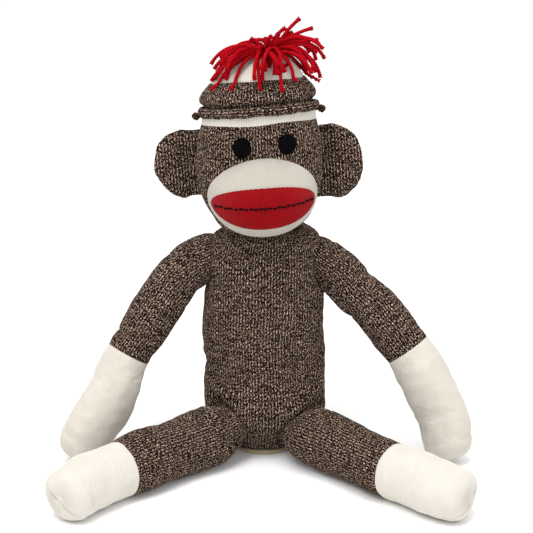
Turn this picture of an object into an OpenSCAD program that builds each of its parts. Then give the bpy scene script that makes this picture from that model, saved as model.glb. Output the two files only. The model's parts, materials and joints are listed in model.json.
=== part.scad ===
/* [Body] */
// Half width of the body at its widest
body_half_w = 49; // [44:0.5:52]
// Half depth of the body, front to back
body_half_d = 39; // [36:0.5:42]
// Height of the top of the body, where the neck starts
body_h = 181; // [178:1:184]
// Thickness of the knitted fabric
knit_t = 2; // [1.5:0.1:2.5]

/* [Head] */
// Half width of the head at its widest
head_half_w = 49.5; // [47:0.5:51]
// Half depth of the head
head_half_d = 43; // [40:0.5:44]
// Lean of the head to its own right side, in degrees
head_lean = 4; // [0:0.5:6]
// Turn of the face to its own left side, in degrees
head_turn = 3.5; // [0:0.5:6]
// How far the muzzle stands out from the middle of the head
muzzle_reach = 80; // [72:1:84]
// Radius of each felt eye
eye_r = 7.6; // [6:0.1:8.5]

/* [Hat] */
// Tilt of the hat towards the back of the head, in degrees
hat_tilt = 6; // [3:0.5:8]
// Half width of the hat at its rolled brim
hat_half_w = 46.5; // [46:0.5:48]
// How far the top of the head and the hat sit to the toy's left of its own line
hat_shift = 3; // [0:0.5:4]

/* [Limbs] */
// Radius of the arm where it leaves the shoulder
arm_root_r = 15; // [13:0.5:15.5]
// Radius of the hand at its fullest
hand_r = 20.5; // [18:0.5:20.5]
// Radius of the leg where it leaves the hip
leg_root_r = 20; // [18:0.5:20.5]
// Radius of the foot at its fullest
foot_r = 20.5; // [18:0.5:20.5]
// Radius of the tail
tail_r = 9; // [8:0.5:10]

/* [Hidden] */

brown = "#4d3d36";
cream = "#e6e1d6";
red = "#a81c22";
black = "#0f0f12";
fill_white = "#f4f4f0";
pouch_beige = "#c9bda2";

left = 1;   // the toy's own left, on the +X side
right = -1;
fit_gap = 0.3; // free space between a filling and its cover, and between bodies
thread_r = 0.8;
seat_r = 28;
seat_t = 1.5;
seat_y = 6;

// Pivots of the seams that the toy bends at
neck_pivot = [0, 0, 184];
shoulder_pivot = [53, -1.5, 155];
hip_pivot = [30, -37, 22.5];
tail_pivot = [0, body_half_d + 4, 30];
neck_ball_r = 21;
neck_room_r = 24.5;
shoulder_room_r = arm_root_r + 3;
hip_room_r = leg_root_r + 4.5;
tail_room_r = tail_r + 4;

// ---------- curves and rings ----------
function unit(v) = v / norm(v);
function reverse(a) = [for (i = [len(a) - 1:-1:0]) a[i]];
function bezier(p, t) =
    pow(1 - t, 3) * p[0] + 3 * t * pow(1 - t, 2) * p[1] + 3 * t * t * (1 - t) * p[2] + pow(t, 3) * p[3];
function bezier_dir(p, t) =
    unit(pow(1 - t, 2) * (p[1] - p[0]) + 2 * t * (1 - t) * (p[2] - p[1]) + t * t * (p[3] - p[2]));

// A ring of n points round centre c, across direction d; ref sets where it starts
function ring(c, d, r, ref, n) =
    let (u = unit(cross(ref, d)), v = cross(d, u))
    [for (k = [0:n - 1]) c + r * (cos(360 * k / n) * u + sin(360 * k / n) * v)];

// A level elliptical ring of half width a and half depth b
function level_ring(z, a, b, n, cy = 0) =
    [for (k = [0:n - 1]) [a * cos(360 * k / n), cy + b * sin(360 * k / n), z]];

function middle(ring_points) = [for (s = ring_points) 1] * ring_points / len(ring_points);

// Skins a list of rings and closes both ends with fans
module loft(rings) {
    n = len(rings[0]);
    m = len(rings);
    points = concat([for (r = rings) each r], [middle(rings[0]), middle(rings[m - 1])]);
    sides = [for (i = [0:m - 2], k = [0:n - 1])
        let (a = i * n + k, b = i * n + (k + 1) % n)
        each [[a, a + n, b + n], [a, b + n, b]]];
    starts = [for (k = [0:n - 1]) [m * n, k, (k + 1) % n]];
    ends = [for (k = [0:n - 1]) [m * n + 1, (m - 1) * n + (k + 1) % n, (m - 1) * n + k]];
    polyhedron(points = points, faces = concat(sides, starts, ends));
}

// Skins a list of rings whose last ring joins its first, such as a sleeve with two walls
module loft_loop(rings) {
    n = len(rings[0]);
    m = len(rings);
    faces = [for (i = [0:m - 1], k = [0:n - 1])
        let (j = (i + 1) % m, a = i * n + k, b = i * n + (k + 1) % n, c = j * n + k, d = j * n + (k + 1) % n)
        each [[a, c, d], [a, d, b]]];
    polyhedron(points = [for (r = rings) each r], faces = faces);
}

// ---------- stuffed limbs ----------
limb_n = 16;
cap_angles = [22, 45, 68];

// A limb is [path, radii, ref]: a Bezier path, radius against the share of the path, and a ring reference
function limb_ring(limb, t, inset) =
    ring(bezier(limb[0], t), bezier_dir(limb[0], t), lookup(t, limb[1]) - inset, limb[2], limb_n);
function limb_rings(limb, from, to, steps, inset) =
    [for (i = [0:steps]) limb_ring(limb, from + (to - from) * i / steps, inset)];
function root_cap(limb, inset) =
    let (d = bezier_dir(limb[0], 0), r = lookup(0, limb[1]) - inset)
    [for (a = cap_angles) ring(limb[0][0] - d * r * cos(a), d, r * sin(a), limb[2], limb_n)];
function tip_cap(limb, inset) =
    let (d = bezier_dir(limb[0], 1), r = lookup(1, limb[1]) - inset)
    [for (a = reverse(cap_angles)) ring(limb[0][3] + d * r * cos(a), d, r * sin(a), limb[2], limb_n)];

// The sleeve of a limb: closed over the root, open at the cuff
module limb_sleeve(limb, cuff, steps = 7) {
    outer = concat(root_cap(limb, 0), limb_rings(limb, 0, cuff, steps, 0));
    inner = concat(root_cap(limb, knit_t), limb_rings(limb, 0, cuff, steps, knit_t));
    loft(concat(outer, reverse(inner)));
}

// The end of a limb: open at the cuff, closed over the tip
module limb_end(limb, cuff, steps = 4) {
    start = cuff + 0.001;
    outer = concat(limb_rings(limb, start, 1, steps, 0), tip_cap(limb, 0));
    inner = concat(limb_rings(limb, start, 1, steps, knit_t), tip_cap(limb, knit_t));
    loft(concat(reverse(inner), outer));
}

// The filling shares the rings of its sleeve and end, so it lies evenly inside both
module limb_filling(limb, cuff, steps = 7, end_steps = 4) {
    inset = knit_t + fit_gap;
    loft(concat(
        root_cap(limb, inset),
        limb_rings(limb, 0, cuff, steps, inset),
        limb_rings(limb, cuff + 0.001, 1, end_steps, inset),
        tip_cap(limb, inset)
    ));
}

// ---------- limb shapes ----------
arm_cuff = 0.59;
arm_slope = 0.287; // how far an arm comes forward for each millimetre that it drops
arm_radii = [
    [0, arm_root_r], [0.1, arm_root_r + 0.8], [0.25, 17.8], [arm_cuff, 17.4],
    [0.75, hand_r - 0.4], [0.9, hand_r - 0.4], [1, hand_r - 2.4]
];
function in_arm_plane(x, z) = [x, shoulder_pivot[1] + (z - shoulder_pivot[2]) * arm_slope, z];
arm_left_path = [for (p = [[53, 155], [82, 134], [128, 84], [148, 18.4]]) in_arm_plane(p[0], p[1])];
arm_right_path = [for (p = [[-53, 155], [-78, 143], [-106, 76], [-147, 18.4]]) in_arm_plane(p[0], p[1])];
arm_left = [arm_left_path, arm_radii, [0, 1, 0]];
arm_right = [arm_right_path, arm_radii, [0, 1, 0]];

leg_cuff = 0.7;
leg_radii = [
    [0, leg_root_r], [0.2, leg_root_r + 0.6], [0.45, leg_root_r + 0.8], [leg_cuff, leg_root_r + 0.4],
    [0.85, foot_r], [1, foot_r - 1.5]
];
leg_left_path = [hip_pivot, [58, -66, 22.3], [96, -104, 21.6], [136, -143, 20.6]];
leg_right_path = [
    [-hip_pivot[0], hip_pivot[1], hip_pivot[2]], [-52, -70, 22.3], [-90, -119, 21.6], [-136, -144, 20.6]
];
leg_left = [leg_left_path, leg_radii, [0, 0, 1]];
leg_right = [leg_right_path, leg_radii, [0, 0, 1]];

tail_cuff = 0.72;
tail_radii = [[0, tail_r], [1, tail_r]];
tail_path = [tail_pivot, [0, 78, 10], [-3, 112, 9.6], [36, 102, 9.6]];
tail = [tail_path, tail_radii, [0, 0, 1]];

// ---------- body ----------
body_n = 32;
// Height, half width and half depth as shares of the driving sizes
body_rows = [
    [1.7, 0.7, 0.78], [5, 0.84, 0.91], [12, 0.92, 0.97], [25, 0.97, 1], [50, 0.985, 1],
    [75, 0.98, 1], [98, 1, 0.99], [120, 0.98, 0.96], [142, 0.945, 0.91], [158, 0.91, 0.86],
    [168, 0.84, 0.8], [body_h - 6, 0.74, 0.74], [body_h, 0.6, 0.66]
];
body_middle_y = 2;

function body_ring(row, inset) =
    level_ring(row[0], row[1] * body_half_w - inset, row[2] * body_half_d - inset, body_n, body_middle_y);

// Room for the balls at the neck, shoulders, hips and tail, and for a leg that hangs straight down
module seam_rooms() {
    translate(neck_pivot) sphere(r = neck_room_r, $fn = 32);
    translate(tail_pivot) sphere(r = tail_room_r, $fn = 16);
    for (side = [left, right]) {
        translate([side * shoulder_pivot[0], shoulder_pivot[1], shoulder_pivot[2]])
            sphere(r = shoulder_room_r, $fn = 20);
        translate([side * hip_pivot[0], hip_pivot[1], hip_pivot[2]]) {
            sphere(r = hip_room_r, $fn = 24);
            translate([0, 0, -40]) cylinder(r = hip_room_r - 2, h = 40, $fn = 24);
        }
    }
}

// The rooms are cut before the body is held to its driving width and depth
module cut_body() {
    resize([2 * body_half_w, 2 * body_half_d, 0])
        difference() {
            children();
            seam_rooms();
        }
}

module torso_cover() {
    color(brown)
        cut_body()
            loft_loop(concat(
                [for (row = body_rows) body_ring(row, 0)],
                reverse([for (row = body_rows) body_ring(row, knit_t)])
            ));
}

module torso_stuffing() {
    inset = knit_t + fit_gap;
    color(fill_white)
        resize([2 * (body_half_w - inset), 2 * (body_half_d * 0.999 - inset), 0])
            difference() {
                loft([for (row = body_rows) body_ring(row, inset)]);
                seam_rooms();
                translate([0, seat_y + 4, 0]) cylinder(r = 23.5, h = 26, $fn = 40);
            }
}

// A fabric bag of plastic pellets that weights the seat
module pellet_pouch() {
    pouch_r = 22;
    edge_r = 6;
    color(pouch_beige)
        translate([0, seat_y + 4, 2.4])
            rotate_extrude($fn = 48)
                union() {
                    square([pouch_r - edge_r, 22]);
                    translate([0, edge_r]) square([pouch_r, 22 - 2 * edge_r]);
                    for (z = [edge_r, 22 - edge_r])
                        translate([pouch_r - edge_r, z]) circle(r = edge_r, $fn = 32);
                }
}

module seat_patch() {
    color(cream)
        translate([0, seat_y, 0]) cylinder(r = seat_r, h = seat_t, $fn = 64);
}

// ---------- neck ----------
module neck_stuffing() {
    color(fill_white) translate(neck_pivot) sphere(r = neck_ball_r, $fn = 48);
}

module neck_drawstring() {
    color(brown)
        translate(neck_pivot)
            rotate_extrude($fn = 48)
                translate([neck_ball_r + fit_gap + 0.9, 0]) circle(r = 0.9, $fn = 16);
}

// ---------- head ----------
head_n = 32;
crown_z = 270;
brim_z = 280;
slope_z = 232;
// Height, half width and half depth as shares of the driving sizes
head_rows = [
    [192, 0.58, 0.64], [197, 0.76, 0.78], [206, 0.9, 0.9], [218, 0.975, 0.965], [235, 1, 1],
    [252, 0.98, 0.985], [260, 0.945, 0.955], [crown_z, 0.9, 0.92]
];
crown_rows = [
    [crown_z, 0.9, 0.92], [crown_z + 5, 0.81, 0.84], [crown_z + 12, 0.66, 0.69],
    [crown_z + 17, 0.44, 0.46], [crown_z + 19, 0.2, 0.21]
];

// The top of the head and the hat slope towards the back and sit to one side, from the eyes upwards
function slope_back(p) =
    let (
        tilted = min(1, max(0, (p[2] - slope_z) / (crown_z - slope_z))),
        moved = min(1, max(0, (p[2] - slope_z) / (brim_z - slope_z)))
    )
    [p[0] + hat_shift * moved, p[1], p[2] - p[1] * tan(hat_tilt) * tilted];
function sloped_ring(z, a, b) = [for (p = level_ring(z, a, b, head_n)) slope_back(p)];
function head_ring(row, inset) =
    sloped_ring(row[0], row[1] * head_half_w - inset, row[2] * head_half_d - inset);

// Places what is drawn upright over the neck at the head's own lean and turn
module on_head() {
    translate(neck_pivot) rotate([0, -head_lean, head_turn]) translate(-neck_pivot) children();
}

// Depth of the front of the head at a place across and a height
function head_front(x, z) =
    let (
        a = lookup(z, [for (row = head_rows) [row[0], row[1]]]) * head_half_w,
        b = lookup(z, [for (row = head_rows) [row[0], row[2]]]) * head_half_d
    )
    -b * sqrt(max(0, 1 - pow(x / a, 2)));

module head_cover() {
    color(brown)
        on_head()
            loft_loop(concat(
                [for (row = head_rows) head_ring(row, 0)],
                reverse([for (row = head_rows) head_ring(row, knit_t)])
            ));
}

module head_stuffing() {
    inset = knit_t + fit_gap;
    dome = reverse([for (row = crown_rows) [row[0] - inset, row[1], row[2]]]);
    // The hollow over the neck ball, as rings that rise into the filling
    hollow = [for (a = [20, 40, 60]) [neck_pivot[2] + neck_room_r * cos(a), neck_room_r * sin(a)]];
    color(fill_white)
        on_head()
            loft(concat(
                [for (h = hollow) level_ring(h[0], h[1], h[1], head_n)],
                [for (row = head_rows) if (row[0] < crown_z - 4) head_ring(row, inset)],
                reverse([for (row = dome) head_ring(row, inset * row[1])])
            ));
}

module head_crown() {
    outer = [for (row = crown_rows) head_ring([row[0] + 0.1, row[1], row[2]], 0)];
    inner = [for (row = crown_rows)
        head_ring([row[0] + 0.1 - knit_t * (row[0] - crown_z) / 22, row[1], row[2]], knit_t * row[1])];
    color(cream) on_head() loft(concat(reverse(inner), outer));
}

// ---------- muzzle ----------
muzzle_n = 32;
muzzle_z = 219;
muzzle_half_w = 43;
muzzle_half_h = 29;
muzzle_gap = 1.4; // free space between the head and the back of the muzzle
muzzle_shape = 2.4; // how square the bulge is: 2 is an ellipsoid

// The front of the muzzle at a share s of its half size, towards an angle
function muzzle_point(s, angle, inset) =
    let (
        x = (muzzle_half_w - inset) * s * cos(angle),
        z = muzzle_z + (muzzle_half_h - inset) * s * sin(angle),
        edge_x = (muzzle_half_w - inset) * cos(angle),
        edge_z = muzzle_z + (muzzle_half_h - inset) * sin(angle),
        base = head_front(edge_x, edge_z),
        bulge = pow(1 - pow(s, muzzle_shape), 1 / muzzle_shape)
    )
    [x, base - muzzle_gap - (muzzle_reach - muzzle_gap - inset + base) * bulge, z];
function muzzle_ring(s, inset) = [for (k = [0:muzzle_n - 1]) muzzle_point(s, 360 * k / muzzle_n, inset)];
// Level spots on the head under the muzzle
function muzzle_back(s, inset) =
    [for (k = [0:muzzle_n - 1])
        let (
            angle = 360 * k / muzzle_n,
            x = (muzzle_half_w - inset) * s * cos(angle),
            z = muzzle_z + (muzzle_half_h - inset) * s * sin(angle)
        )
        [x, head_front(x, z) - muzzle_gap - 0.2, z]];
muzzle_shares = [1, 0.985, 0.94, 0.85, 0.7, 0.5, 0.25];

module muzzle_cover() {
    outer = [for (s = muzzle_shares) muzzle_ring(s, 0)];
    inner = [for (s = muzzle_shares) muzzle_ring(s, knit_t)];
    color(cream) on_head() loft(concat(reverse(inner), outer));
}

module muzzle_stuffing() {
    inset = knit_t + fit_gap + 0.2;
    color(fill_white)
        on_head()
            loft(concat(
                [for (s = [0.15, 0.35, 0.55, 0.75, 0.9]) muzzle_back(s, inset)],
                [for (s = muzzle_shares) muzzle_ring(s, inset)]
            ));
}

// ---------- lips ----------
lips_t = 1.2;
lips_stand = 0.6; // free space between the muzzle and the lips
lips_half_w = 38;
lips_half_h = 16;
lips_z = 219;
lips_x = -1;

// A place on the muzzle's front, at a distance above its surface
function on_muzzle(x, z, above) =
    let (
        sx = x / muzzle_half_w,
        sz = (z - muzzle_z) / muzzle_half_h,
        s = sqrt(sx * sx + sz * sz),
        angle = atan2(sz, sx),
        p = muzzle_point(s, angle, 0)
    )
    [x * (1 + above / muzzle_half_w), p[1] - above, z];
function lips_ring(s, above) =
    [for (k = [0:muzzle_n - 1])
        let (angle = 360 * k / muzzle_n)
        on_muzzle(lips_x + lips_half_w * s * cos(angle), lips_z + lips_half_h * s * sin(angle), above)];

module lips() {
    shares = [1, 0.96, 0.85, 0.65, 0.4, 0.15];
    outer = [for (s = shares) lips_ring(s, lips_stand + lips_t)];
    inner = [for (s = shares) lips_ring(s, lips_stand)];
    color(red) on_head() loft(concat(reverse(inner), outer));
}

// A running stitch of black thread that draws the mouth's smile
module mouth_stitching() {
    stitch_n = 17;
    stitch_l = 2.8;
    stitch_span = 69;
    smile = 5; // how far the ends of the row of stitches rise
    stand = lips_stand + lips_t + 1.25;
    color(black)
        on_head()
            for (i = [0:stitch_n - 1]) {
                x = lips_x + stitch_span * (i / (stitch_n - 1) - 0.5);
                z = lips_z - 4 + smile * pow(2 * abs(x - lips_x) / stitch_span, 3);
                p = on_muzzle(x, z, stand);
                q = on_muzzle(x + 0.5, z, stand);
                translate(p)
                    rotate([0, 0, atan2(q[1] - p[1], q[0] - p[0])])
                        rotate([0, 90, 0]) cylinder(r = 0.7, h = stitch_l, center = true, $fn = 16);
            }
}

// ---------- eyes ----------
eye_x = 16.5;
eye_shift = 2; // the pair sits a little towards the toy's left
eye_z = 254.5;
eye_t = 1.6;
eye_slope = 6;
eye_stand = 1.1; // clears the curve of the head under the flat eye

module eye(side) {
    x = eye_shift + side * eye_x;
    p = slope_back([x, head_front(x, eye_z), eye_z]);
    a = head_half_w * 0.97;
    b = head_half_d * 0.975;
    out = atan2(p[0] / (a * a), -p[1] / (b * b));
    color(black)
        on_head()
            translate(p) rotate([0, 0, out]) rotate([90 - eye_slope, 0, 0])
                translate([0, 0, eye_stand]) cylinder(r = eye_r, h = eye_t, $fn = 48);
}

// ---------- ears ----------
ear_n = 16;
ear_z = [234, 242]; // left, right: they are sewn on a little unevenly
ear_y = 4;
ear_pivot_x = 53;
ear_half_h = 29;
ear_w = 29;
ear_sew = 2.6; // how far the sewn edge reaches inwards from the fold
ear_knit_t = 1.2;
// Half height and half thickness of the ear against the distance out from its fold
ear_heights = [
    [-ear_sew, 21], [0, 23], [6, 26.5], [11, 28.5], [16, ear_half_h], [20.5, 26.5],
    [24.5, 21], [27.5, 13.5], [ear_w, 6]
];
ear_thicknesses = [
    [-ear_sew, 1.9], [0, 3], [6, 4.6], [11, 5.4], [16, 5.4], [20.5, 5],
    [24.5, 4.3], [27.5, 3.4], [ear_w, 1.8]
];
ear_places = [for (row = ear_heights) row[0]];

function ear_ring(side, x, inset) =
    [for (k = [0:ear_n - 1])
        let (
            angle = side * 360 * k / ear_n,
            half_t = lookup(x, ear_thicknesses) - inset,
            half_h = lookup(x, ear_heights) - inset,
            z = ear_z[side == left ? 0 : 1]
        )
        [side * (ear_pivot_x + x), ear_y + half_t * cos(angle), z + half_h * sin(angle)]];

// Open along the edge that is sewn to the head
module ear_cover(side) {
    outer = [for (x = ear_places) ear_ring(side, x, 0)];
    inner = [for (x = ear_places) if (x < ear_w - 3) ear_ring(side, x, ear_knit_t)];
    color(brown) on_head() loft(concat(reverse(inner), outer));
}

// The filling stops short of the sewn edge and of the rim of its cover
module ear_stuffing(side) {
    narrower = 0.97;
    filled = [for (x = ear_places) if (x >= 0 && x < ear_w - 3) x];
    color(fill_white)
        on_head()
            loft([for (x = filled) ear_ring(side, x * narrower, ear_knit_t + fit_gap)]);
}

// ---------- hat ----------
brim_r = 4.2;
brim_half_w = hat_half_w - brim_r;
brim_half_d = brim_half_w * 0.92;
hat_knit_t = 2;
// Height and half width of the hat's band and of its gathered dome
band_rows = [[284.7, 44.5], [289, 44.5], [294, 43], [298, 40], [300, 37]];
dome_rows = [[300.3, 37], [306, 35.6], [313, 31.5], [320, 24.5], [325, 16], [327.5, 6]];
hat_depth = 0.93; // depth of the hat against its width
knot_r = 2.6;

function hat_ring(row, inset) = sloped_ring(row[0], row[1] - inset, row[1] * hat_depth - inset);

module hat_brim() {
    brim_n = 10;
    color(brown)
        on_head()
            loft_loop([for (i = [0:brim_n - 1])
                let (a = 360 * i / brim_n)
                sloped_ring(
                    brim_z + brim_r * sin(a),
                    brim_half_w + brim_r * cos(a),
                    brim_half_d + brim_r * cos(a)
                )]);
}

module hat_band() {
    color(brown)
        on_head()
            loft_loop(concat(
                [for (row = band_rows) hat_ring(row, 0)],
                reverse([for (row = band_rows) hat_ring(row, hat_knit_t)])
            ));
}

module hat_dome() {
    outer = [for (row = dome_rows) hat_ring(row, 0)];
    inner = [for (row = dome_rows)
        if (row[1] > 20) hat_ring([row[0] - hat_knit_t * (37 - row[1]) / 20, row[1]], hat_knit_t)];
    color(cream) on_head() loft(concat(reverse(inner), outer));
}

// A bead of yarn that tacks the brim to the side of the head
module hat_knot(side) {
    color(brown)
        on_head()
            translate(slope_back([side * (hat_half_w + knot_r + fit_gap), 0, brim_z - 3]))
                sphere(r = knot_r, $fn = 32);
}

// ---------- pompom ----------
// Height and radius over the top and under the skirt of the yarn bunch
pompom_top = [[350, 9], [348, 20], [342.5, 31], [333, 39.5], [321, 43.5], [309, 43.5], [300, 42.6]];
pompom_under = [[300, 40.6], [309, 39.8], [318, 35.5], [325, 28], [330.5, 17], [333, 8]];

module pompom() {
    over = reverse([for (row = pompom_top) sloped_ring(row[0], row[1], row[1])]);
    under = reverse([for (row = pompom_under) sloped_ring(row[0], row[1], row[1])]);
    color(red) on_head() loft(concat(under, over));
}

// The yarn that ties the middle of the bunch down to the hat
module pompom_tie() {
    tie_r = 1.5;
    color(red)
        on_head()
            translate(slope_back([0, 0, 330]))
                rotate_extrude($fn = 32) translate([4, 0]) circle(r = tie_r, $fn = 16);
}

// ---------- limbs and tail ----------
// Each seam thread is a small hoop on the inner side of the root, clear of the limb through its whole travel
module seam_thread(pivot, pole, ball_r, spread) {
    across = ball_r + fit_gap + thread_r;
    out = unit(pole);
    color(brown)
        translate(pivot)
            rotate([0, acos(out[2]), atan2(out[1], out[0])])
                translate([0, 0, across * cos(spread)])
                    rotate_extrude($fn = 40)
                        translate([across * sin(spread), 0]) circle(r = thread_r, $fn = 16);
}

module shoulder_thread(side) {
    pivot = [side * shoulder_pivot[0], shoulder_pivot[1], shoulder_pivot[2]];
    seam_thread(pivot, [-side, 0.3, 0], arm_root_r, 35);
}

module hip_thread(side) {
    pivot = [side * hip_pivot[0], hip_pivot[1], hip_pivot[2]];
    seam_thread(pivot, [-side * 0.65, 0.65, 0.38], leg_root_r, 20);
}

module tail_thread() {
    seam_thread(tail_pivot, [0, -1, 0.2], tail_r, 32);
}

module limb_cover(limb, cuff) {
    color(brown) limb_sleeve(limb, cuff);
}

module limb_stuffing(limb, cuff) {
    color(fill_white) limb_filling(limb, cuff);
}

module limb_tip(limb, cuff) {
    color(cream) limb_end(limb, cuff);
}

// ---------- pieces ----------
torso_cover();
torso_stuffing();
pellet_pouch();
seat_patch();
neck_stuffing();
neck_drawstring();
head_cover();
head_stuffing();
head_crown();
muzzle_cover();
muzzle_stuffing();
lips();
mouth_stitching();
eye(left);  // eye_left
eye(right);  // eye_right
ear_cover(left);  // ear_left_cover
ear_stuffing(left);  // ear_left_stuffing
ear_cover(right);  // ear_right_cover
ear_stuffing(right);  // ear_right_stuffing
hat_brim();
hat_band();
hat_dome();
hat_knot(left);  // hat_knot_left
hat_knot(right);  // hat_knot_right
pompom();
pompom_tie();
shoulder_thread(left);  // shoulder_thread_left
limb_cover(arm_left, arm_cuff);  // arm_left_cover
limb_stuffing(arm_left, arm_cuff);  // arm_left_stuffing
limb_tip(arm_left, arm_cuff);  // hand_left
shoulder_thread(right);  // shoulder_thread_right
limb_cover(arm_right, arm_cuff);  // arm_right_cover
limb_stuffing(arm_right, arm_cuff);  // arm_right_stuffing
limb_tip(arm_right, arm_cuff);  // hand_right
hip_thread(left);  // hip_thread_left
limb_cover(leg_left, leg_cuff);  // leg_left_cover
limb_stuffing(leg_left, leg_cuff);  // leg_left_stuffing
limb_tip(leg_left, leg_cuff);  // foot_left
hip_thread(right);  // hip_thread_right
limb_cover(leg_right, leg_cuff);  // leg_right_cover
limb_stuffing(leg_right, leg_cuff);  // leg_right_stuffing
limb_tip(leg_right, leg_cuff);  // foot_right
tail_thread();
limb_cover(tail, tail_cuff);  // tail_cover
limb_stuffing(tail, tail_cuff);  // tail_stuffing
limb_tip(tail, tail_cuff);  // tail_tip
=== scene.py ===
import json
import math
import random

import bpy
import numpy as np
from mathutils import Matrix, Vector


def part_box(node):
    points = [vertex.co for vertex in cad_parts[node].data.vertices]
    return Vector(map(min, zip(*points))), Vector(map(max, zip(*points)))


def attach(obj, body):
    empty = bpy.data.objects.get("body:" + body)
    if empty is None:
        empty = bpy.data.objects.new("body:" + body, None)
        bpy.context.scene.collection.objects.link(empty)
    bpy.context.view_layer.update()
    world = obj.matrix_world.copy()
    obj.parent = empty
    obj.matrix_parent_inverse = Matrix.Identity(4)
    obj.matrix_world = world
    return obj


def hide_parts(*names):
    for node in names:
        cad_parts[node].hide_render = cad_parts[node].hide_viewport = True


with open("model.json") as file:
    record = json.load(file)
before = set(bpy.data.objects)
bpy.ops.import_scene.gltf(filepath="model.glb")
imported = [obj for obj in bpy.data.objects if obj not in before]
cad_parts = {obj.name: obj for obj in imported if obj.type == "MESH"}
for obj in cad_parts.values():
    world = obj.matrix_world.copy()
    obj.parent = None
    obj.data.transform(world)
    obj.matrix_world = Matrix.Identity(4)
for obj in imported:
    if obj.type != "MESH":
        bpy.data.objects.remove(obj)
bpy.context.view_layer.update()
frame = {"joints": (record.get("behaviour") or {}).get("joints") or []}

MM = 0.001
rng = random.Random(7)


def mm(v):
    """A point of the record, in millimetres."""
    return np.array(v, float) / MM


JOINTS = {j["name"]: j for j in frame["joints"]}


def pivot(name):
    return mm(JOINTS[name]["pos_m"])


# ---------------------------------------------------------------- camera and light
TARGET = Vector((2.4, 0, 151)) * MM
ELEVATION = math.radians(16)
DISTANCE = 1.2

camera = bpy.data.objects.new("camera", bpy.data.cameras.new("camera"))
bpy.context.collection.objects.link(camera)
camera.location = TARGET + DISTANCE * Vector((0, -math.cos(ELEVATION), math.sin(ELEVATION)))
camera.rotation_euler = (math.pi / 2 - ELEVATION, 0, 0)
camera.data.sensor_width = 36
camera.data.lens = 36 * 1500 / 533
camera.data.clip_start = 0.05
camera.data.clip_end = 20
bpy.context.scene.camera = camera
bpy.context.scene.view_settings.view_transform = "Standard"

world = bpy.data.worlds.new("studio")
bpy.context.scene.world = world
world.use_nodes = True
world.node_tree.nodes["Background"].inputs["Color"].default_value = (1, 1, 1, 1)
world.node_tree.nodes["Background"].inputs["Strength"].default_value = 1.0


def area_light(name, place, aim, size, power):
    lamp = bpy.data.objects.new(name, bpy.data.lights.new(name, "AREA"))
    lamp.data.shape = "DISK"
    lamp.data.size = size
    lamp.data.energy = power
    lamp.location = place
    lamp.rotation_euler = (Vector(aim) - Vector(place)).to_track_quat("-Z", "Y").to_euler()
    bpy.context.collection.objects.link(lamp)


area_light("key", (-0.55, -1.1, 1.7), (0, 0, 0.15), 0.8, 12)
area_light("fill", (1.2, -1.1, 0.9), (0, 0, 0.15), 1.0, 2)
area_light("top", (0, -0.32, 1.25), (0, -0.2, 0), 0.7, 7.0)


# ---------------------------------------------------------------- node helpers
class Shader:
    """Small helper that writes a material's nodes."""

    def __init__(self, name):
        self.material = bpy.data.materials.new(name)
        self.material.use_nodes = True
        self.tree = self.material.node_tree
        self.bsdf = self.tree.nodes["Principled BSDF"]

    def node(self, kind, **settings):
        made = self.tree.nodes.new(kind)
        for key, value in settings.items():
            setattr(made, key, value)
        return made

    def put(self, value, socket):
        if isinstance(value, bpy.types.NodeSocket):
            self.tree.links.new(value, socket)
        else:
            socket.default_value = value

    def math(self, op, a, b=0.0, c=0.0):
        made = self.node("ShaderNodeMath", operation=op)
        for value, socket in zip((a, b, c), made.inputs):
            self.put(value, socket)
        return made.outputs[0]

    def span(self, value, low, high, to_low, to_high, smooth=False):
        made = self.node("ShaderNodeMapRange", interpolation_type="SMOOTHSTEP" if smooth else "LINEAR")
        for item, socket in zip((value, low, high, to_low, to_high), made.inputs):
            self.put(item, socket)
        return made.outputs[0]

    def vector(self, x, y, z):
        made = self.node("ShaderNodeCombineXYZ")
        for value, socket in zip((x, y, z), made.inputs):
            self.put(value, socket)
        return made.outputs[0]

    def noise(self, where, scale, detail=1.0, rough=0.5):
        made = self.node("ShaderNodeTexNoise")
        self.put(where, made.inputs["Vector"])
        made.inputs["Scale"].default_value = scale
        made.inputs["Detail"].default_value = detail
        made.inputs["Roughness"].default_value = rough
        return made.outputs["Fac"]

    def mix(self, factor, a, b, mode="MIX"):
        made = self.node("ShaderNodeMix", data_type="RGBA", blend_type=mode)
        self.put(factor, made.inputs[0])
        self.put(a, made.inputs[6])
        self.put(b, made.inputs[7])
        return made.outputs[2]

    def ramp(self, factor, stops):
        made = self.node("ShaderNodeValToRGB")
        self.put(factor, made.inputs[0])
        while len(made.color_ramp.elements) < len(stops):
            made.color_ramp.elements.new(0.5)
        for element, (at, color) in zip(made.color_ramp.elements, stops):
            element.position = at
            element.color = color
        return made.outputs[0]

    def bump(self, height, strength, distance):
        made = self.node("ShaderNodeBump")
        made.inputs["Strength"].default_value = strength
        made.inputs["Distance"].default_value = distance
        self.put(height, made.inputs["Height"])
        self.tree.links.new(made.outputs["Normal"], self.bsdf.inputs["Normal"])

    def uv(self):
        made = self.node("ShaderNodeUVMap", uv_map="knit")
        split = self.node("ShaderNodeSeparateXYZ")
        self.tree.links.new(made.outputs[0], split.inputs[0])
        return split.outputs[0], split.outputs[1]

    def place(self):
        return self.node("ShaderNodeTexCoord").outputs["Object"]

    def finish(self, color, rough, sheen=0.0, tint=(1, 1, 1, 1), gloss=0.02):
        self.put(color, self.bsdf.inputs["Base Color"])
        self.put(rough, self.bsdf.inputs["Roughness"])
        self.bsdf.inputs["Specular IOR Level"].default_value = gloss
        self.bsdf.inputs["Sheen Weight"].default_value = sheen
        self.bsdf.inputs["Sheen Roughness"].default_value = 0.5
        self.bsdf.inputs["Sheen Tint"].default_value = tint
        return self.material


def srgb(r, g, b):
    def line(c):
        c /= 255
        return c / 12.92 if c <= 0.04045 else ((c + 0.055) / 1.055) ** 2.4

    return (line(r), line(g), line(b), 1)


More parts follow.
